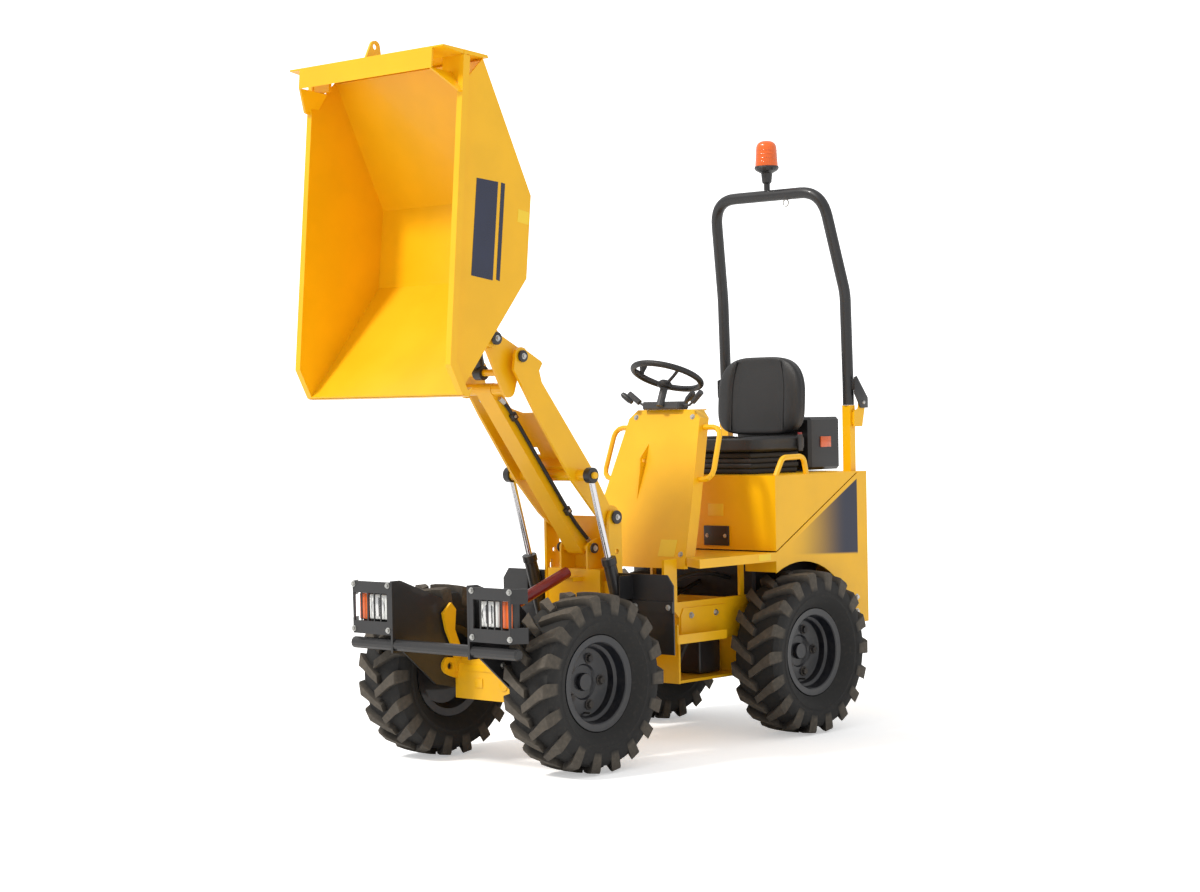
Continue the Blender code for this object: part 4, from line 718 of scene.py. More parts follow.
# ------------------------------------------------------------------ wheels
@dataclass
class Wheel:
    """One wheel: tyre with lugs, stepped rim, nuts and valve."""

    end: str
    hand: str
    side: int
    radius: float = 0.328
    groove: float = 0.024
    half_width: float = 0.1075
    lugs: int = 18
    nuts: int = 5

    def build(self) -> None:
        """Make the wheel's pieces."""
        name = f"{self.end}_{self.hand}"
        center = middle("tyre_" + name)
        body = "wheel_" + name
        self.tyre(name, body, center)
        self.rim(name, body, center)

    def lug_seed(self) -> bpy.types.Mesh:
        """One pair of lugs at the top of a wheel about the origin.

        Returns:
            Closed lugs with the grit attribute on their faces.
        """
        outer, base = self.radius - 0.0004, self.radius - self.groove - 0.004
        stations = (  # across, back, half width, top radius, base radius
            (-0.010, -0.010, 0.0150, outer, base),
            (0.028, 0.014, 0.0165, outer, base),
            (0.070, 0.044, 0.0195, outer - 0.002, base - 0.002),
            (0.098, 0.060, 0.0235, outer - 0.005, base - 0.010),
            (0.1045, 0.064, 0.0245, outer - 0.014, base - 0.030),
            (0.1072, 0.066, 0.0215, outer - 0.062, base - 0.052),
        )
        part = bmesh.new()
        grit = part.verts.layers.float.new("grit")
        for hand, start in ((1, 0.0), (-1, math.pi / self.lugs)):
            rows = []
            for across, back, half, top, low in stations:
                row = []
                for offset, radius, dusty in (
                    (-half - 0.004, low, 0.0),
                    (-half, top, 1.0),
                    (half, top, 1.0),
                    (half + 0.004, low, 0.0),
                ):
                    angle = start + (back + offset) / self.radius
                    vert = part.verts.new((hand * across, radius * math.sin(angle), radius * math.cos(angle)))
                    vert[grit] = dusty
                    row.append(vert)
                rows.append(row)
            for first, second in zip(rows, rows[1:]):
                for index in range(4):
                    after = (index + 1) % 4
                    part.faces.new((first[index], first[after], second[after], second[index]))
            part.faces.new(rows[0][::-1])
            part.faces.new(rows[-1])
        bmesh.ops.recalc_face_normals(part, faces=part.faces)
        mesh = bpy.data.meshes.new("lug_pair")
        part.to_mesh(mesh)
        part.free()
        return mesh

    def tyre(self, name: str, body: str, center: Vector) -> None:
        """Carcass and lugs, as one piece."""
        values = {"Count": self.lugs, "Material": PAINTS.get(Finish.TYRE)}
        ring = LUGS.grow(self.lug_seed(), "lug_ring", values)
        floor, half = self.radius - self.groove, self.half_width
        rows = [
            (floor, 0.0),
            (floor - 0.001, half * 0.55),
            (floor - 0.008, half * 0.86),
            (floor - 0.026, half * 0.965),
            (0.262, half * 0.985),
            (0.244, half * 0.975),
            (0.240, half * 0.955),
            (0.232, half * 0.955),
            (0.228, half * 0.965),
            (0.205, half * 0.87),
            (0.186, 0.075),
            (0.1785, 0.070),
            (0.1765, 0.0625),
            (0.1530, 0.0565),
        ]
        profile = rows + [(radius, -height) for radius, height in rows[:0:-1]]
        piece = Piece("tyre_treaded_" + name, body)
        turn = Matrix.Translation(center) @ Matrix.Rotation(math.radians(90), 4, "Y")
        piece.lathe(profile, turn, Finish.TYRE, 80, ring=True)
        ring.transform(Matrix.Translation(center))
        for polygon in ring.polygons:
            polygon.use_smooth = False
        piece.work.from_mesh(ring)
        piece.done(["tyre_" + name])

    def rim(self, name: str, body: str, center: Vector) -> None:
        """Stepped rim, hub cap, nuts and valve."""
        piece = Piece("rim_stepped_" + name, body)
        turn = Matrix.Translation(center) @ Matrix.Rotation(math.radians(90 * self.side), 4, "Y")
        profile = [
            (0, 0.004),
            (0.030, 0.004),
            (0.032, 0.001),
            (0.033, -0.013),
            (0.060, -0.014),
            (0.066, -0.007),
            (0.118, -0.006),
            (0.1245, -0.002),
            (0.128, 0.023),
            (0.133, 0.027),
            (0.140, 0.030),
            (0.146, 0.066),
            (0.150, 0.0695),
            (0.168, 0.0705),
            (0.174, 0.0715),
            (0.1755, 0.068),
            (0.1755, 0.065),
            (0.1525, 0.058),
            (0.136, 0.022),
            (0.136, -0.022),
            (0.1525, -0.058),
            (0.1755, -0.065),
            (0.1755, -0.0715),
            (0.147, -0.068),
            (0.129, -0.026),
            (0.052, -0.022),
            (0.052, -0.0495),
            (0, -0.0495),
        ]
        piece.lathe(profile, turn, Finish.RIM, 72)
        stem = turn @ Vector((0.112, 0.0, -0.008))
        out = Vector((self.side, 0, 0))
        piece.sweep([stem, stem + out * 0.032], 0.0035, Finish.HOSE)
        piece.done(["rim_" + name])
        spots = []
        for index in range(self.nuts):
            angle = 2 * math.pi * index / self.nuts + 0.3
            spot = turn @ Vector((0.088 * math.cos(angle), 0.088 * math.sin(angle), -0.0065))
            spots.append((spot, out))
        BOLTS.fit("wheel_nuts_" + name, body, spots, 0.0135, Finish.IRON)


# ------------------------------------------------------------------ lift rams and hoses
@dataclass
class Ram:
    """A ram drawn round between its barrel pin and its rod eye."""

    name: str
    barrel_body: str
    rod_body: str
    pin: Vector
    eye: Vector
    barrel_radius: float
    rod_radius: float
    barrel_length: float
    eye_radius: float
    pin_width: float
    eye_width: float
    barrel_nodes: Sequence[str] = ()
    rod_nodes: Sequence[str] = ()
    boss: float = 0.014
    out: float = 0.0
    slack: float = 0.0008
    bottom: float = 0.036
    engaged: float = 0.040

    def build(self) -> None:
        """Barrel with its eye, gland and pipe; bright rod with its eye."""
        axis = (self.eye - self.pin).normalized()
        turn = Matrix.Translation(self.pin) @ axis.to_track_quat("Z", "Y").to_matrix().to_4x4()
        radius, length = self.barrel_radius, self.barrel_length
        barrel = Piece(self.name + "_barrel", self.barrel_body)
        bore = self.rod_radius + self.slack
        profile = [
            (bore, length),
            (radius + 0.0025, length),
            (radius + 0.004, length - 0.002),
            (radius + 0.004, length - 0.026),
            (radius + 0.002, length - 0.028),
            (radius, length - 0.029),
            (radius, 0.030),
            (radius - 0.005, 0.022),
            (0, 0.022),
            (0, self.bottom),
            (bore, self.bottom),
        ]
        barrel.lathe(profile, turn, Finish.BLACK, 40)
        self.collar(barrel, self.pin, self.pin_width, self.boss + 0.014, self.boss + 0.0009, Finish.BLACK)
        side = axis.cross(Vector((1, 0, 0))).normalized()
        pipe_foot = self.pin + axis * 0.055
        pipe_top = self.pin + axis * (length - 0.050)
        off = side * (radius + 0.0052)
        corners = [
            pipe_foot + side * (radius - 0.003),
            pipe_foot + off,
            pipe_top + off,
            pipe_top + side * (radius - 0.003),
        ]
        barrel.sweep(rounded(corners, 0.012), 0.004, Finish.BLACK, 8)
        barrel.done(self.barrel_nodes)
        rod = Piece(self.name + "_rod", self.rod_body)
        reach = (self.eye - self.pin).length
        foot = length - self.engaged
        rod.lathe(
            [(0, reach), (self.rod_radius, reach), (self.rod_radius, foot), (0, foot)],
            turn,
            Finish.CHROME,
            32,
        )
        center = self.eye + Vector((self.out, 0, 0))
        self.collar(rod, center, self.eye_width, self.eye_radius, 0.0, Finish.BLACK)
        if self.out:
            sign = math.copysign(1, self.out)
            rod.disc(center + Vector((sign * self.eye_width / 2, 0, 0)), Vector((sign, 0, 0)), 0.013, 0.013,
                     Finish.YELLOW)
        rod.done(self.rod_nodes)

    def collar(
        self, piece: Piece, center: Vector, width: float, radius: float, bore: float, finish: Finish
    ) -> None:
        """A round eye across the machine, with softened edges."""
        half, soft = width / 2, 0.002
        outer = [
            (radius - soft, half),
            (radius, half - soft),
            (radius, soft - half),
            (radius - soft, -half),
        ]
        profile = [(bore, half), *outer, (bore, -half)]
        turn = Matrix.Translation(center) @ Matrix.Rotation(math.radians(90), 4, "Y")
        piece.lathe(profile, turn, finish, 36, ring=bore > 0)


@dataclass
class Lift:
    """What dresses the arms, the link and the tower."""

    raise_angle: float = math.radians(52.31)
    pin: Vector = field(default_factory=lambda: place(0, 0.416, 0.904))
    link_pin: Vector = field(default_factory=lambda: place(0, 0.385, 0.785))
    length: float = 0.7757

    def on_arm(self, along: float, out: float, origin: Vector, x: float = 0.0) -> Vector:
        """A point in the arm's frame.

        Args:
            along: Distance from the pin towards the skip.
            out: Distance out of the arm, away from the operator.
            origin: The pin.
            x: Distance to the left.

        Returns:
            The world point.
        """
        cos, sin = math.cos(self.raise_angle), math.sin(self.raise_angle)
        return origin + Vector((x, -cos * along - sin * out, sin * along - cos * out))

    def build(self) -> None:
        """Rams, hoses, clamps and pins."""
        eye = self.on_arm(0.2396, 0.0387, self.pin)
        foot = place(0, 0.425, 0.430)
        for side, hand in SIDES:
            across = Vector((side * 0.210, 0, 0))
            Ram(
                "lift_ram_" + hand, "lift_barrels", "lift_rods", foot + across, eye + across,
                0.025, 0.0125, 0.338, 0.0298, 0.044, 0.0300,
                ["lift_ram_barrel_" + hand], ["lift_ram_rod_" + hand], out=side * 0.0029,
            ).build()
            self.hoses(side, hand)
        tip = self.on_arm(self.length, 0, self.pin)
        Ram(
            "tip_ram", "tip_barrel", "tip_rod", tip + Vector((0, -0.062, -0.058)), middle_eye(),
            0.022, 0.011, 0.200, 0.0198, 0.040, 0.026, ["tip_ram_barrel"], ["tip_ram_rod"], boss=0.013,
        ).build()
        self.pins(tip)

    def hoses(self, side: int, hand: str) -> None:
        """The hose along the link with its two clamps."""
        route = (
            (0.735, 0.008), (0.700, -0.004), (0.600, -0.008), (0.350, -0.008),
            (0.120, -0.010), (0.050, -0.020), (0.002, -0.028),
        )
        corners = [self.on_arm(along, out, self.link_pin, side * 0.050) for along, out in route]
        hose = Piece("link_hose_sleeved_" + hand, "centre_link")
        path = rounded(corners, 0.03)
        hose.sweep(path, 0.0073, Finish.HOSE)
        for start, stop in ((path[0], path[1]), (path[-1], path[-2])):
            way = (stop - start).normalized()
            hose.sweep([start - way * 0.004, start + way * 0.026], 0.0092, Finish.ZINC, 6)
        for along in (0.640, 0.180):
            seat = self.on_arm(along, -0.008, self.link_pin, side * 0.0485)
            turn = Matrix.Translation(seat) @ Matrix.Rotation(-self.raise_angle, 4, "X")
            low, high = Vector((-0.0085, -0.015, -0.014)), Vector((0.0095, 0.015, 0.014))
            hose.box(low, high, Finish.BLACK, 0.003, turn)
            spot = self.on_arm(along, -0.008, self.link_pin, side * 0.058)
            hose.disc(spot, Vector((side, 0, 0)), 0.006, 0.004, Finish.ZINC)
        hose.done(["link_hose_" + hand])

    def pins(self, tip: Vector) -> None:
        """Round pin heads and their bolts on each body."""
        heads = {
            "front_chassis": [(self.pin, 0.178, 0.026, 0.006), (self.link_pin, 0.0875, 0.020, 0.006)],
            "lift_arms": [(tip, 0.159, 0.022, 0.007)],
            "carrier": [(tip + Vector((0, -0.122, 0.065)), 0.146, 0.024, 0.008)],
        }
        for body, rows in heads.items():
            piece = Piece("pin_heads_" + body, body)
            spots = []
            for center, x, radius, depth in rows:
                for side, _ in SIDES:
                    face = Vector((side * x, center.y, center.z))
                    inner = face - Vector((side * 0.002, 0, 0))
                    piece.disc(inner, Vector((side, 0, 0)), radius, depth + 0.002, Finish.BLACK)
                    spots.append((face + Vector((side * (depth - 0.001), 0, 0)), Vector((side, 0, 0))))
            piece.done()
            BOLTS.fit("pin_bolts_" + body, body, spots, 0.0075, Finish.ZINC)


def middle_eye() -> Vector:
    """The tip ram's upper pin."""
    _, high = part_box("tip_ram_rod")
    return Vector((0, place(0, -0.21613, 0).y, high.z - 0.020))


# ------------------------------------------------------------------ skip
@dataclass
class Skip:
    """Blank films and edge strips on the skip."""

    wall: float = 0.390
    film: float = 0.0006

    def panel(self, piece: Piece, side: int, corners: Sequence[Flat], finish: Finish) -> None:
        """A thin film on the skip's side."""
        x = side * (self.wall + 0.0002)
        outline = [place(x, y, z) for y, z in corners]
        piece.plate(outline, Vector((side * self.film, 0, 0)), finish)

    def build(self) -> None:
        """Films on both sides."""
        piece = Piece("skip_films", "skip")
        wide = [(-0.502, 2.128), (-0.398, 2.119), (-0.434, 1.774), (-0.538, 1.789)]
        thin = [(-0.383, 2.118), (-0.364, 2.115), (-0.400, 1.772), (-0.417, 1.778)]
        label = [(-0.300, 2.030), (-0.245, 2.020), (-0.252, 1.975), (-0.307, 1.985)]
        for side, _ in SIDES:
            self.panel(piece, side, wide, Finish.NAVY)
            self.panel(piece, side, thin, Finish.NAVY)
            self.panel(piece, side, label, Finish.LABEL)
        piece.done()


# ------------------------------------------------------------------ nose
@dataclass
class Nose:
    """Lamps, guard bolts and the front plate's trims."""

    front: float = -0.404

    def build(self) -> None:
        """Dress both lamps and the nose."""
        for side, hand in SIDES:
            self.lamp(side, hand)
        self.guard_bolts()
        self.trims()

    def lamp(self, side: int, hand: str) -> None:
        """Housing with a clear lens inboard and an amber one outboard."""
        piece = Piece("lamp_unit_" + hand, "front_chassis")

        def span(inner: float, outer: float, y: Flat, z: Flat) -> tuple[Vector, Vector]:
            low, high = sorted((side * inner, side * outer))
            return place(low, y[0], z[0]), place(high, y[1], z[1])

        piece.box(*span(0.2355, 0.3975, (-0.3720, -0.3355), (0.5090, 0.6545)), Finish.BLACK, 0.005)
        piece.box(*span(0.2395, 0.3455, (-0.3800, -0.3700), (0.5495, 0.6505)), Finish.BLACK, 0.003)
        piece.box(*span(0.2440, 0.3410, (-0.3875, -0.3780), (0.5540, 0.6460)), Finish.GLASS, 0.004)
        piece.box(*span(0.3550, 0.3975, (-0.3875, -0.3710), (0.5510, 0.6490)), Finish.AMBER, 0.005)
        bowl = place(side * 0.2925, -0.3870, 0.600)
        piece.disc(bowl, Vector((0, -1, 0)), 0.036, 0.0012, Finish.REFLECTOR)
        piece.done(["headlamp_" + hand])

    def guard_bolts(self) -> None:
        """Bolts on the guards' fronts and side plates."""
        ahead = Vector((0, -1, 0))
        spots = []
        for side, _ in SIDES:
            for x in (0.222, 0.411):
                for z in (0.517, 0.683):
                    spots.append((place(side * x, self.front, z), ahead))
            out = Vector((side, 0, 0))
            for y, z in ((-0.150, 0.520), (-0.150, 0.420), (-0.240, 0.400), (-0.075, 0.305)):
                spots.append((place(side * 0.208, y, z), out))
        BOLTS.fit("guard_bolts", "front_chassis", spots, 0.0075, Finish.ZINC)

    def trims(self) -> None:
        """Reflectors, the folded band across the plate and the prop's end caps."""
        piece = Piece("nose_trims", "front_chassis")
        piece.box(place(-0.150, -0.0925, 0.345), place(0.150, -0.0895, 0.369), Finish.YELLOW, 0.001)
        piece.box(place(-0.090, -0.0935, 0.285), place(-0.050, -0.0895, 0.320), Finish.YELLOW, 0.0012)
        piece.disc(place(0.060, -0.0895, 0.300), Vector((0, -1, 0)), 0.020, 0.004, Finish.YELLOW)
        for side, _ in SIDES:
            x = side * 0.2075
            low, high = sorted((x, x + side * 0.005))
            piece.box(place(low, -0.345, 0.560), place(high, -0.300, 0.600), Finish.RED, 0.0015)
        piece.done()
        plates = []
        for side, _ in SIDES:
            for x, z in ((0.265, 0.569), (0.430, 0.569)):
                plates.append((place(side * x, 0.418, z), Vector((0, -1, 0))))
            plates.append((place(side * 0.172, 0.413, 0.640), Vector((side, 0, 0))))
        BOLTS.fit("mudguard_bolts", "front_chassis", plates, 0.0075, Finish.ZINC)


# ------------------------------------------------------------------ operator's place
@dataclass
class Seat:
    """Cushion and back with bolsters, channels and piping."""

    cells: int = 44
    hardness: float = 7.0
    bolster: float = 0.62

    def pad(
        self, name: str, low: Vector, high: Vector, turn: Matrix, node: str, rise: float, taper: float
    ) -> None:
        """A closed crowned pad whose top faces local Z.

        Args:
            name: The piece's name.
            low: Its lowest corner, in its own frame.
            high: Its highest corner.
            turn: Its place.
            node: The CAD node that it replaces.
            rise: How far the bolsters stand over the middle.
            taper: Share by which it narrows at its far end; 0 also gives it sewn channels.
        """
        part = bmesh.new()
        bmesh.ops.create_cube(part, size=2)
        bmesh.ops.subdivide_edges(part, edges=part.edges[:], cuts=self.cells, use_grid_fill=True)
        half = (high - low) / 2
        center = (high + low) / 2
        for vert in part.verts:
            share = vert.co.copy()
            power = self.hardness if taper == 0 else self.hardness * 0.62
            scale = sum(abs(value) ** power for value in share) ** (1 / power)
            share /= scale
            crown = self.crown(share.x, share.y, rise, taper == 0) if vert.co.z > -0.999 else 0.0
            top = max(share.z, 0.0)
            share.x *= self.narrow(share.y, taper) - 0.025 * (1 - share.y ** 2) * (1 - top)
            vert.co = Vector((share.x * half.x, share.y * half.y, share.z * half.z + top * crown)) + center
        piece = Piece(name, "engine_cover")
        piece.take(part, Finish.VINYL, turn)
        for side, _ in SIDES:
            line = []
            for step in range(33):
                y = -0.90 + 1.80 * step / 32
                height = half.z * (1 - abs(y) ** self.hardness * 0.12)
                height += self.crown(side * self.bolster, y, rise, taper == 0) + 0.0006
                across = side * self.bolster * half.x * self.narrow(y, taper)
                spot = Vector((across, y * half.y, height)) + center
                line.append(turn @ spot)
            piece.sweep(line, 0.0030, Finish.VINYL, 8)
        made = piece.done([node])

    def narrow(self, y: float, taper: float) -> float:
        """Share of the full width at a share of the length."""
        return 1 - taper * max(0.0, y) ** 2

    def crown(self, x: float, y: float, rise: float, sewn: bool) -> float:
        """Height over the flat top at a share of the pad's width and length."""
        bolsters = rise * (1 / (1 + math.exp(-(abs(x) - self.bolster) * 26)) - 1)
        ends = max(0.0, 1 - abs(x) ** 10) * (1 - abs(y) ** 8)
        seam = -0.0045 * math.exp(-(((abs(x) - self.bolster) / 0.035) ** 2))
        channel = 0.0
        if sewn and abs(x) < self.bolster:
            channel = -0.0035 * math.exp(-((math.sin(y * math.pi * 2.5) / 0.22) ** 2))
        return (bolsters + seam + channel) * ends

    def build(self) -> None:
        """Place both pads."""
        low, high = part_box("seat_cushion")
        center = (low + high) / 2
        half = (high - low) / 2
        turn = Matrix.Translation(center)
        self.pad("seat_cushion_padded", -half, half, turn, "seat_cushion", 0.014, 0.0)
        low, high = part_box("seat_back")
        lean = math.radians(7)
        face = Vector((0, -math.cos(lean), math.sin(lean) * 0.6)).normalized()
        up = Vector((0, face.z, -face.y))
        turn = Matrix((Vector((-1, 0, 0)), up, face)).transposed().to_4x4()
        center = (low + high) / 2 + Vector((0, 0.002, 0))
        turn = Matrix.Translation(center) @ turn
        reach = (high.z - low.z) / 2 - 0.001
        size = Vector(((high.x - low.x) / 2, reach, 0.040))
        self.pad("seat_back_padded", -size, size, turn, "seat_back", 0.016, 0.22)
        self.base()

    def base(self) -> None:
        """Bellows of the suspension and the buckle."""
        low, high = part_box("seat_suspension")
        piece = Piece("seat_bellows", "engine_cover")
        folds = 4
        for index in range(folds):
            bottom = low.z + (high.z - low.z) * index / folds
            top = bottom + (high.z - low.z) / folds - 0.0004
            grow = 0.004 if index % 2 else 0.0
            piece.box(
                Vector((low.x + 0.006 - grow, low.y + 0.006 - grow, bottom)),
                Vector((high.x - 0.006 + grow, high.y - 0.006 + grow, top)),
                Finish.HOSE,
                0.006,
            )
        piece.done(["seat_suspension"])
        buckle = Piece("seat_buckle", "engine_cover")
        spot = Vector((0.243, high.y - 0.060, high.z + 0.060))
        low, high = spot - Vector((0.008, 0.014, 0.060)), spot + Vector((0.004, 0.014, 0.010))
        buckle.box(low, high, Finish.BLACK, 0.004)
        low, high = spot + Vector((-0.007, -0.010, 0.0085)), spot + Vector((0.003, 0.010, 0.018))
        buckle.box(low, high, Finish.RED, 0.002)
        buckle.done()


@dataclass
class Controls:
    """Steering wheel, console labels, levers' grips and the fixed body's trims."""

    top: Vector = field(default_factory=lambda: place(0, 0.909, 1.397))
    tilt: float = math.radians(22)
    ring: float = 0.1395
    grip: float = 0.0125
    rise: float = 0.052

    def build(self) -> None:
        """Make every trim at the operator's place."""
        self.wheel()
        self.console()
        self.body()
        self.engine_bay()

    def wheel(self) -> None:
        """Ring, three round spokes, cap and spinner knob."""
        piece = Piece("steering_wheel_ring", "steering_wheel")
        turn = Matrix.Translation(self.top) @ Matrix.Rotation(-self.tilt, 4, "X")
        ring = []
        for index in range(16):
            angle = -2 * math.pi * index / 16
            ring.append((self.ring + self.grip * math.cos(angle), self.rise + self.grip * math.sin(angle)))
        piece.lathe(ring, turn, Finish.VINYL, 72, ring=True)
        boss = [
            (0, 0.031), (0.020, 0.030), (0.026, 0.024), (0.030, 0.018), (0.029, 0.004), (0.022, 0), (0, 0),
        ]
        piece.lathe(boss, turn, Finish.VINYL, 36)
        for angle in (90, 210, 330):
            spin = math.radians(angle)
            way = Vector((math.cos(spin), math.sin(spin), 0))
            path = [way * 0.020 + Vector((0, 0, 0.016)), way * 0.080 + Vector((0, 0, 0.030)),
                    way * 0.138 + Vector((0, 0, self.rise))]
            piece.sweep([turn @ point for point in rounded(path, 0.03)], 0.0068, Finish.IRON, 10)
        spin = math.radians(215)
        way = Vector((math.cos(spin), math.sin(spin), 0))
        piece.sweep(
            [
                turn @ (way * 0.136 + Vector((0, 0, self.rise))),
                turn @ (way * 0.103 + Vector((0, 0, self.rise - 0.010))),
            ],
            0.006, Finish.IRON,
        )
        knob = [
            (0, 0.050), (0.009, 0.049), (0.0145, 0.041), (0.015, 0.030), (0.010, 0.012), (0.0095, -0.003),
            (0, -0.003),
        ]
        stand = turn @ Matrix.Translation(way * 0.103 + Vector((0, 0, self.rise - 0.012)))
        piece.lathe(knob, stand, Finish.VINYL, 28)
        piece.done(["steering_wheel"])

    def lean(self, z: float) -> float:
        """Distance behind the front axle of the console's front face at a height."""
        return 0.700 + (z - 0.690) * 0.35

    def console(self) -> None:
        """Blank labels, lever grips and dials."""
        piece = Piece("console_trims", "rear_chassis")
        normal = Vector((0, -1, 0.35)).normalized()
        low, high = 0.735, 0.800
        outline = [place(x, self.lean(z), z) + normal * 0.0002 for x, z in
                   ((0.120, low), (0.205, low), (0.205, high), (0.120, high))]
        piece.plate(outline, normal * 0.0008, Finish.LABEL)
        for side, _ in SIDES:
            foot = place(side * 0.142, 0.8742, 1.340)
            tip = place(side * 0.191, 0.8672, 1.3775)
            way = (tip - foot).normalized()
            turn = Matrix.Translation(foot) @ way.to_track_quat("Z", "Y").to_matrix().to_4x4()
            length = (tip - foot).length
            profile = [(0, length), (0.009, length - 0.001), (0.0125, length * 0.8), (0.0122, length * 0.3),
                       (0.008, 0.002), (0, 0)]
            piece.lathe(profile, turn, Finish.BLACK, 24)
        for x in (-0.070, -0.035, 0.0, 0.035):
            piece.disc(place(x, 0.9585, 1.327), Vector((0, 1, 0)), 0.009, 0.004, Finish.BLACK)
        piece.done()
        spots = []
        for side, _ in SIDES:
            for x, z in ((0.236, 0.745), (0.150, 1.280)):
                spots.append((place(side * x, self.lean(z), z), normal))
        BOLTS.fit("console_bolts", "rear_chassis", spots, 0.0075, Finish.ZINC)

    def body(self) -> None:
        """Control panel, labels, reflectors and step bolts."""
        cover = Piece("cover_trims", "engine_cover")
        cover.box(place(0.030, 1.1035, 0.755), place(0.160, 1.1110, 0.835), Finish.BLACK, 0.002)
        cover.box(place(0.050, 1.1085, 0.875), place(0.130, 1.1110, 0.925), Finish.LABEL, 0.0008)
        low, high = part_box("rear_box")
        cover.box(Vector((high.x - 0.001, (low.y + high.y) / 2 - 0.035, 1.140)),
                  Vector((high.x + 0.005, (low.y + high.y) / 2 + 0.035, 1.185)), Finish.AMBER, 0.002)
        cover.box(Vector((low.x - 0.005, (low.y + high.y) / 2 - 0.035, 1.140)),
                  Vector((low.x + 0.001, (low.y + high.y) / 2 + 0.035, 1.185)), Finish.AMBER, 0.002)
        cover.done()
        ahead = Vector((0, -1, 0))
        spots = [(place(x, 1.1035, 0.795), ahead) for x in (0.048, 0.142)]
        BOLTS.fit("panel_bolts", "engine_cover", spots, 0.0055, Finish.ZINC)
        piece = Piece("body_trims", "rear_chassis")
        for side, _ in SIDES:
            x = side * 0.400
            near, far = sorted((x - side * 0.001, x + side * 0.0012))
            piece.box(place(near, 1.000, 0.706), place(far, 1.075, 0.731), Finish.LABEL, 0.0004)
            low_x, high_x = sorted((side * 0.300, side * 0.370))
            piece.box(place(low_x, 1.718, 0.480), place(high_x, 1.726, 0.520), Finish.RED, 0.002)
        piece.done()
        spots = []
        for side, _ in SIDES:
            out = Vector((side, 0, 0))
            for y, z in ((0.765, 0.505), (0.915, 0.505)):
                spots.append((place(side * 0.2453, y, z), out))
            for y, z in ((1.64, 0.46), (1.64, 0.52)):
                spots.append((place(side * 0.400, y, z), out))
        BOLTS.fit("body_bolts", "rear_chassis", spots, 0.0085, Finish.ZINC)

    def engine_bay(self) -> None:
        """Hoses and a filter in the gap ahead of the engine."""
        piece = Piece("engine_bay_hoses", "rear_chassis")
        runs = (
            ((0.10, 1.176, 0.62), (0.10, 1.00, 0.66), (0.02, 0.80, 0.60), (0.02, 0.716, 0.42)),
            ((-0.06, 1.176, 0.60), (-0.07, 1.02, 0.55), (-0.02, 0.84, 0.50), (-0.02, 0.716, 0.40)),
            ((0.16, 1.176, 0.54), (0.17, 1.00, 0.50), (0.15, 0.86, 0.42), (0.12, 0.80, 0.256)),
            ((-0.15, 1.176, 0.56), (-0.16, 0.98, 0.60), (-0.13, 0.82, 0.47), (-0.11, 0.78, 0.256)),
        )
        for run in runs:
            piece.sweep(rounded([place(*point) for point in run], 0.09), 0.0095, Finish.HOSE)
        can = [(0, 0.11), (0.030, 0.11), (0.036, 0.102), (0.036, 0.012), (0.040, 0.008), (0.040, 0), (0, 0)]
        piece.lathe(can, Matrix.Translation(place(-0.10, 1.120, 0.275)) , Finish.BLACK, 36)
        piece.box(place(0.02, 0.90, 0.256), place(0.17, 1.03, 0.390), Finish.BLACK, 0.008)
        piece.done()


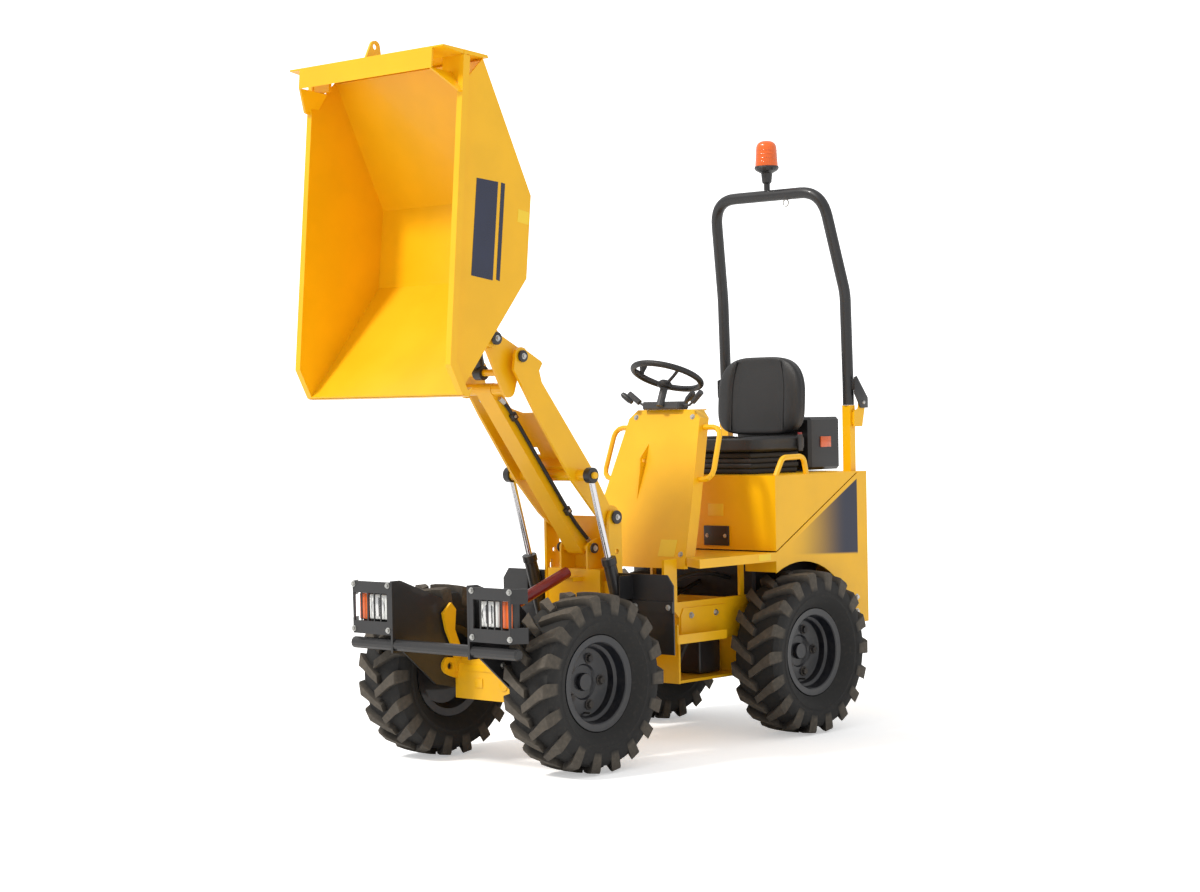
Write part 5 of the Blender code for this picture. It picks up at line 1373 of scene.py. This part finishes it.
@dataclass
class RollBar:
    """The tube hoop with its brackets, spring pins and beacon."""

    half: float = 0.330
    radius: float = 0.0238

    def build(self) -> None:
        """Make the hoop and the beacon."""
        piece = Piece("roll_bar_tube", "roll_bar")
        left = [
            (0.330, 1.6975, 1.3146), (0.330, 1.6975, 1.400), (0.330, 1.687, 1.781), (0.287, 1.5925, 2.205),
        ]
        corners = [place(*point) for point in left + [(-x, y, z) for x, y, z in left[::-1]]]
        bends = (0.010, 0.035, 0.110, 0.110, 0.035, 0.010)
        piece.sweep(self.bend(corners, bends), self.radius, Finish.BLACK, 24)
        for side, _ in SIDES:
            face = (
                (1.688, 1.362), (1.688, 1.430), (1.703, 1.436),
                (1.778, 1.345), (1.778, 1.302), (1.728, 1.302),
            )
            outline = [place(side * 0.3664, y, z) for y, z in face]
            piece.plate(outline, Vector((side * 0.006, 0, 0)), Finish.BLACK, 0.001)
            low, high = sorted((side * 0.345, side * 0.368))
            piece.box(place(low, 1.690, 1.378), place(high, 1.708, 1.424), Finish.BLACK, 0.002)
            pin = place(side * 0.3585, 1.745, 1.325)
            piece.disc(pin, Vector((side, 0, 0)), 0.0078, 0.0195, Finish.ZINC)
        ring = [
            (0.014 + 0.0028 * math.cos(-a * math.pi / 6), 0.0028 * math.sin(-a * math.pi / 6))
            for a in range(12)
        ]
        stand = place(0.10, 1.5925, 2.205 - self.radius - 0.013)
        turn = Matrix.Translation(stand) @ Matrix.Rotation(math.pi / 2, 4, "X")
        piece.lathe(ring, turn, Finish.ZINC, 28, ring=True)
        piece.done(["roll_bar_hoop"])
        self.beacon()

    def bend(self, corners: Sequence[Vector], reaches: Sequence[float]) -> list[Vector]:
        """A path with a different rounding at each corner."""
        path = [corners[0]]
        for index, reach in enumerate(reaches, start=1):
            bent = rounded(corners[index - 1:index + 2], reach, 10)
            path += bent[1:-1]
        return path + [corners[-1]]

    def beacon(self) -> None:
        """Fluted dome over the black stem."""
        low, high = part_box("beacon_dome")
        center = (low + high) / 2
        piece = Piece("beacon_lens", "roll_bar")
        height = high.z - low.z
        dome = [(0, height), (0.012, height - 0.0003), (0.024, height - 0.003), (0.034, height - 0.009),
                (0.0405, height - 0.018), (0.0435, height - 0.030), (0.0460, 0.030), (0.0478, 0.008),
                (0.0478, 0.0), (0, 0.0)]
        turn = Matrix.Translation((center.x, center.y, low.z))
        piece.lathe(dome, turn, Finish.AMBER, 56)
        for level in (0.018, 0.034, 0.050, 0.066):
            radius = 0.0468 - level * 0.035
            ring = [
                (radius + 0.0012 * math.cos(-a * math.pi / 4), level + 0.0012 * math.sin(-a * math.pi / 4))
                for a in range(8)
            ]
            piece.lathe(ring, turn, Finish.AMBER, 56, ring=True)
        piece.done(["beacon_dome"])


# ------------------------------------------------------------------ finishes on the CAD pieces, and the stage
def dress_cad() -> None:
    """Give every CAD node that stays in view its procedural finish."""
    slots = {row["node"]: row["material_slot"] for row in frame["record"]["subparts"]}
    for name, made in frame["nodes"].items():
        if made.hide_render:
            continue
        finish = Finish.PANEL if name == "body_shell" else Finish(slots[name])
        made.data.materials.clear()
        made.data.materials.append(PAINTS.get(finish))
        LOG.info("CAD node %s is finished as %s", name, finish.value)


@dataclass
class Studio:
    """Camera, floor and soft light."""

    eye: Point = (6.210, -6.188, 1.328)
    heading: float = math.radians(42.78)
    pitch: float = math.radians(0.967)
    roll: float = math.radians(-1.064)
    lens: float = 70.28
    floor_reach: float = 40.0
    floor_glow: float = 0.42
    surround_seen: float = 1.6
    surround_light: float = 0.78
    key_power: float = 2.3
    key_spread: float = math.radians(8)

    def build(self) -> None:
        """Make the stage."""
        self.camera()
        self.floor()
        self.lights()

    def camera(self) -> None:
        """A camera low on the front left quarter, a little rolled."""
        cos, sin = math.cos(self.heading), math.sin(self.heading)
        ahead = Vector((-sin * math.cos(self.pitch), cos * math.cos(self.pitch), -math.sin(self.pitch)))
        right = Vector((cos, sin, 0))
        up = right.cross(ahead)
        tilt = (math.cos(self.roll), math.sin(self.roll))
        across = right * tilt[0] + up * tilt[1]
        upright = up * tilt[0] - right * tilt[1]
        data = bpy.data.cameras.new("view")
        data.lens = self.lens
        data.sensor_width = 36.0
        camera = bpy.data.objects.new("view", data)
        turn = Matrix((across, upright, -ahead)).transposed().to_4x4()
        camera.matrix_world = Matrix.Translation(place(*self.eye)) @ turn
        bpy.context.scene.collection.objects.link(camera)
        bpy.context.scene.camera = camera

    def floor(self) -> None:
        """A pale floor."""
        mesh = bpy.data.meshes.new("floor")
        reach = self.floor_reach
        corners = [(-reach, -reach, 0), (reach, -reach, 0), (reach, reach, 0), (-reach, reach, 0)]
        mesh.from_pydata(corners, [], [(0, 1, 2, 3)])
        material = bpy.data.materials.new("floor")
        material.use_nodes = True
        shader = material.node_tree.nodes["Principled BSDF"]
        shader.inputs["Base Color"].default_value = (0.93, 0.93, 0.93, 1)
        shader.inputs["Roughness"].default_value = 0.9
        shader.inputs["Emission Color"].default_value = (1, 1, 1, 1)
        self.seen(material.node_tree, shader.inputs["Emission Strength"], self.floor_glow, 0.0)
        mesh.materials.append(material)
        floor = bpy.data.objects.new("floor", mesh)
        bpy.context.scene.collection.objects.link(floor)

    def seen(
        self, tree: bpy.types.NodeTree, socket: bpy.types.NodeSocket, direct: float, other: float
    ) -> None:
        """Give a strength one value to the camera and another to the light that bounces.

        Args:
            tree: The node tree that holds the socket.
            socket: The strength.
            direct: Its value where the camera looks straight at it.
            other: Its value for every other ray.
        """
        path = tree.nodes.new("ShaderNodeLightPath")
        scale = tree.nodes.new("ShaderNodeMapRange")
        scale.inputs["To Min"].default_value = other
        scale.inputs["To Max"].default_value = direct
        tree.links.new(path.outputs["Is Camera Ray"], scale.inputs["Value"])
        tree.links.new(scale.outputs["Result"], socket)

    def lights(self) -> None:
        """A key from the front and above, with an even white surround."""
        world = bpy.data.worlds.new("surround")
        world.use_nodes = True
        back = world.node_tree.nodes["Background"]
        back.inputs["Color"].default_value = (1, 1, 1, 1)
        self.seen(world.node_tree, back.inputs["Strength"], self.surround_seen, self.surround_light)
        bpy.context.scene.world = world
        bpy.context.scene.view_settings.view_transform = "Standard"
        data = bpy.data.lights.new("key", "SUN")
        data.energy = self.key_power
        data.angle = self.key_spread
        data.color = (1.0, 0.97, 0.92)
        lamp = bpy.data.objects.new("key", data)
        lamp.matrix_world = Vector((-0.35, -1.0, 1.15)).to_track_quat("Z", "Y").to_matrix().to_4x4()
        bpy.context.scene.collection.objects.link(lamp)


def main() -> None:
    """Build every sub-assembly in order."""
    logging.basicConfig(level=logging.INFO)
    studio = Studio()
    studio.build()
    for end in ("front", "rear"):
        for side, hand in SIDES:
            Wheel(end, hand, side).build()
    for part in (Lift(), Skip(), Nose(), Seat(), Controls(), RollBar()):
        part.build()
    dress_cad()


if __name__ == "__main__":
    main()
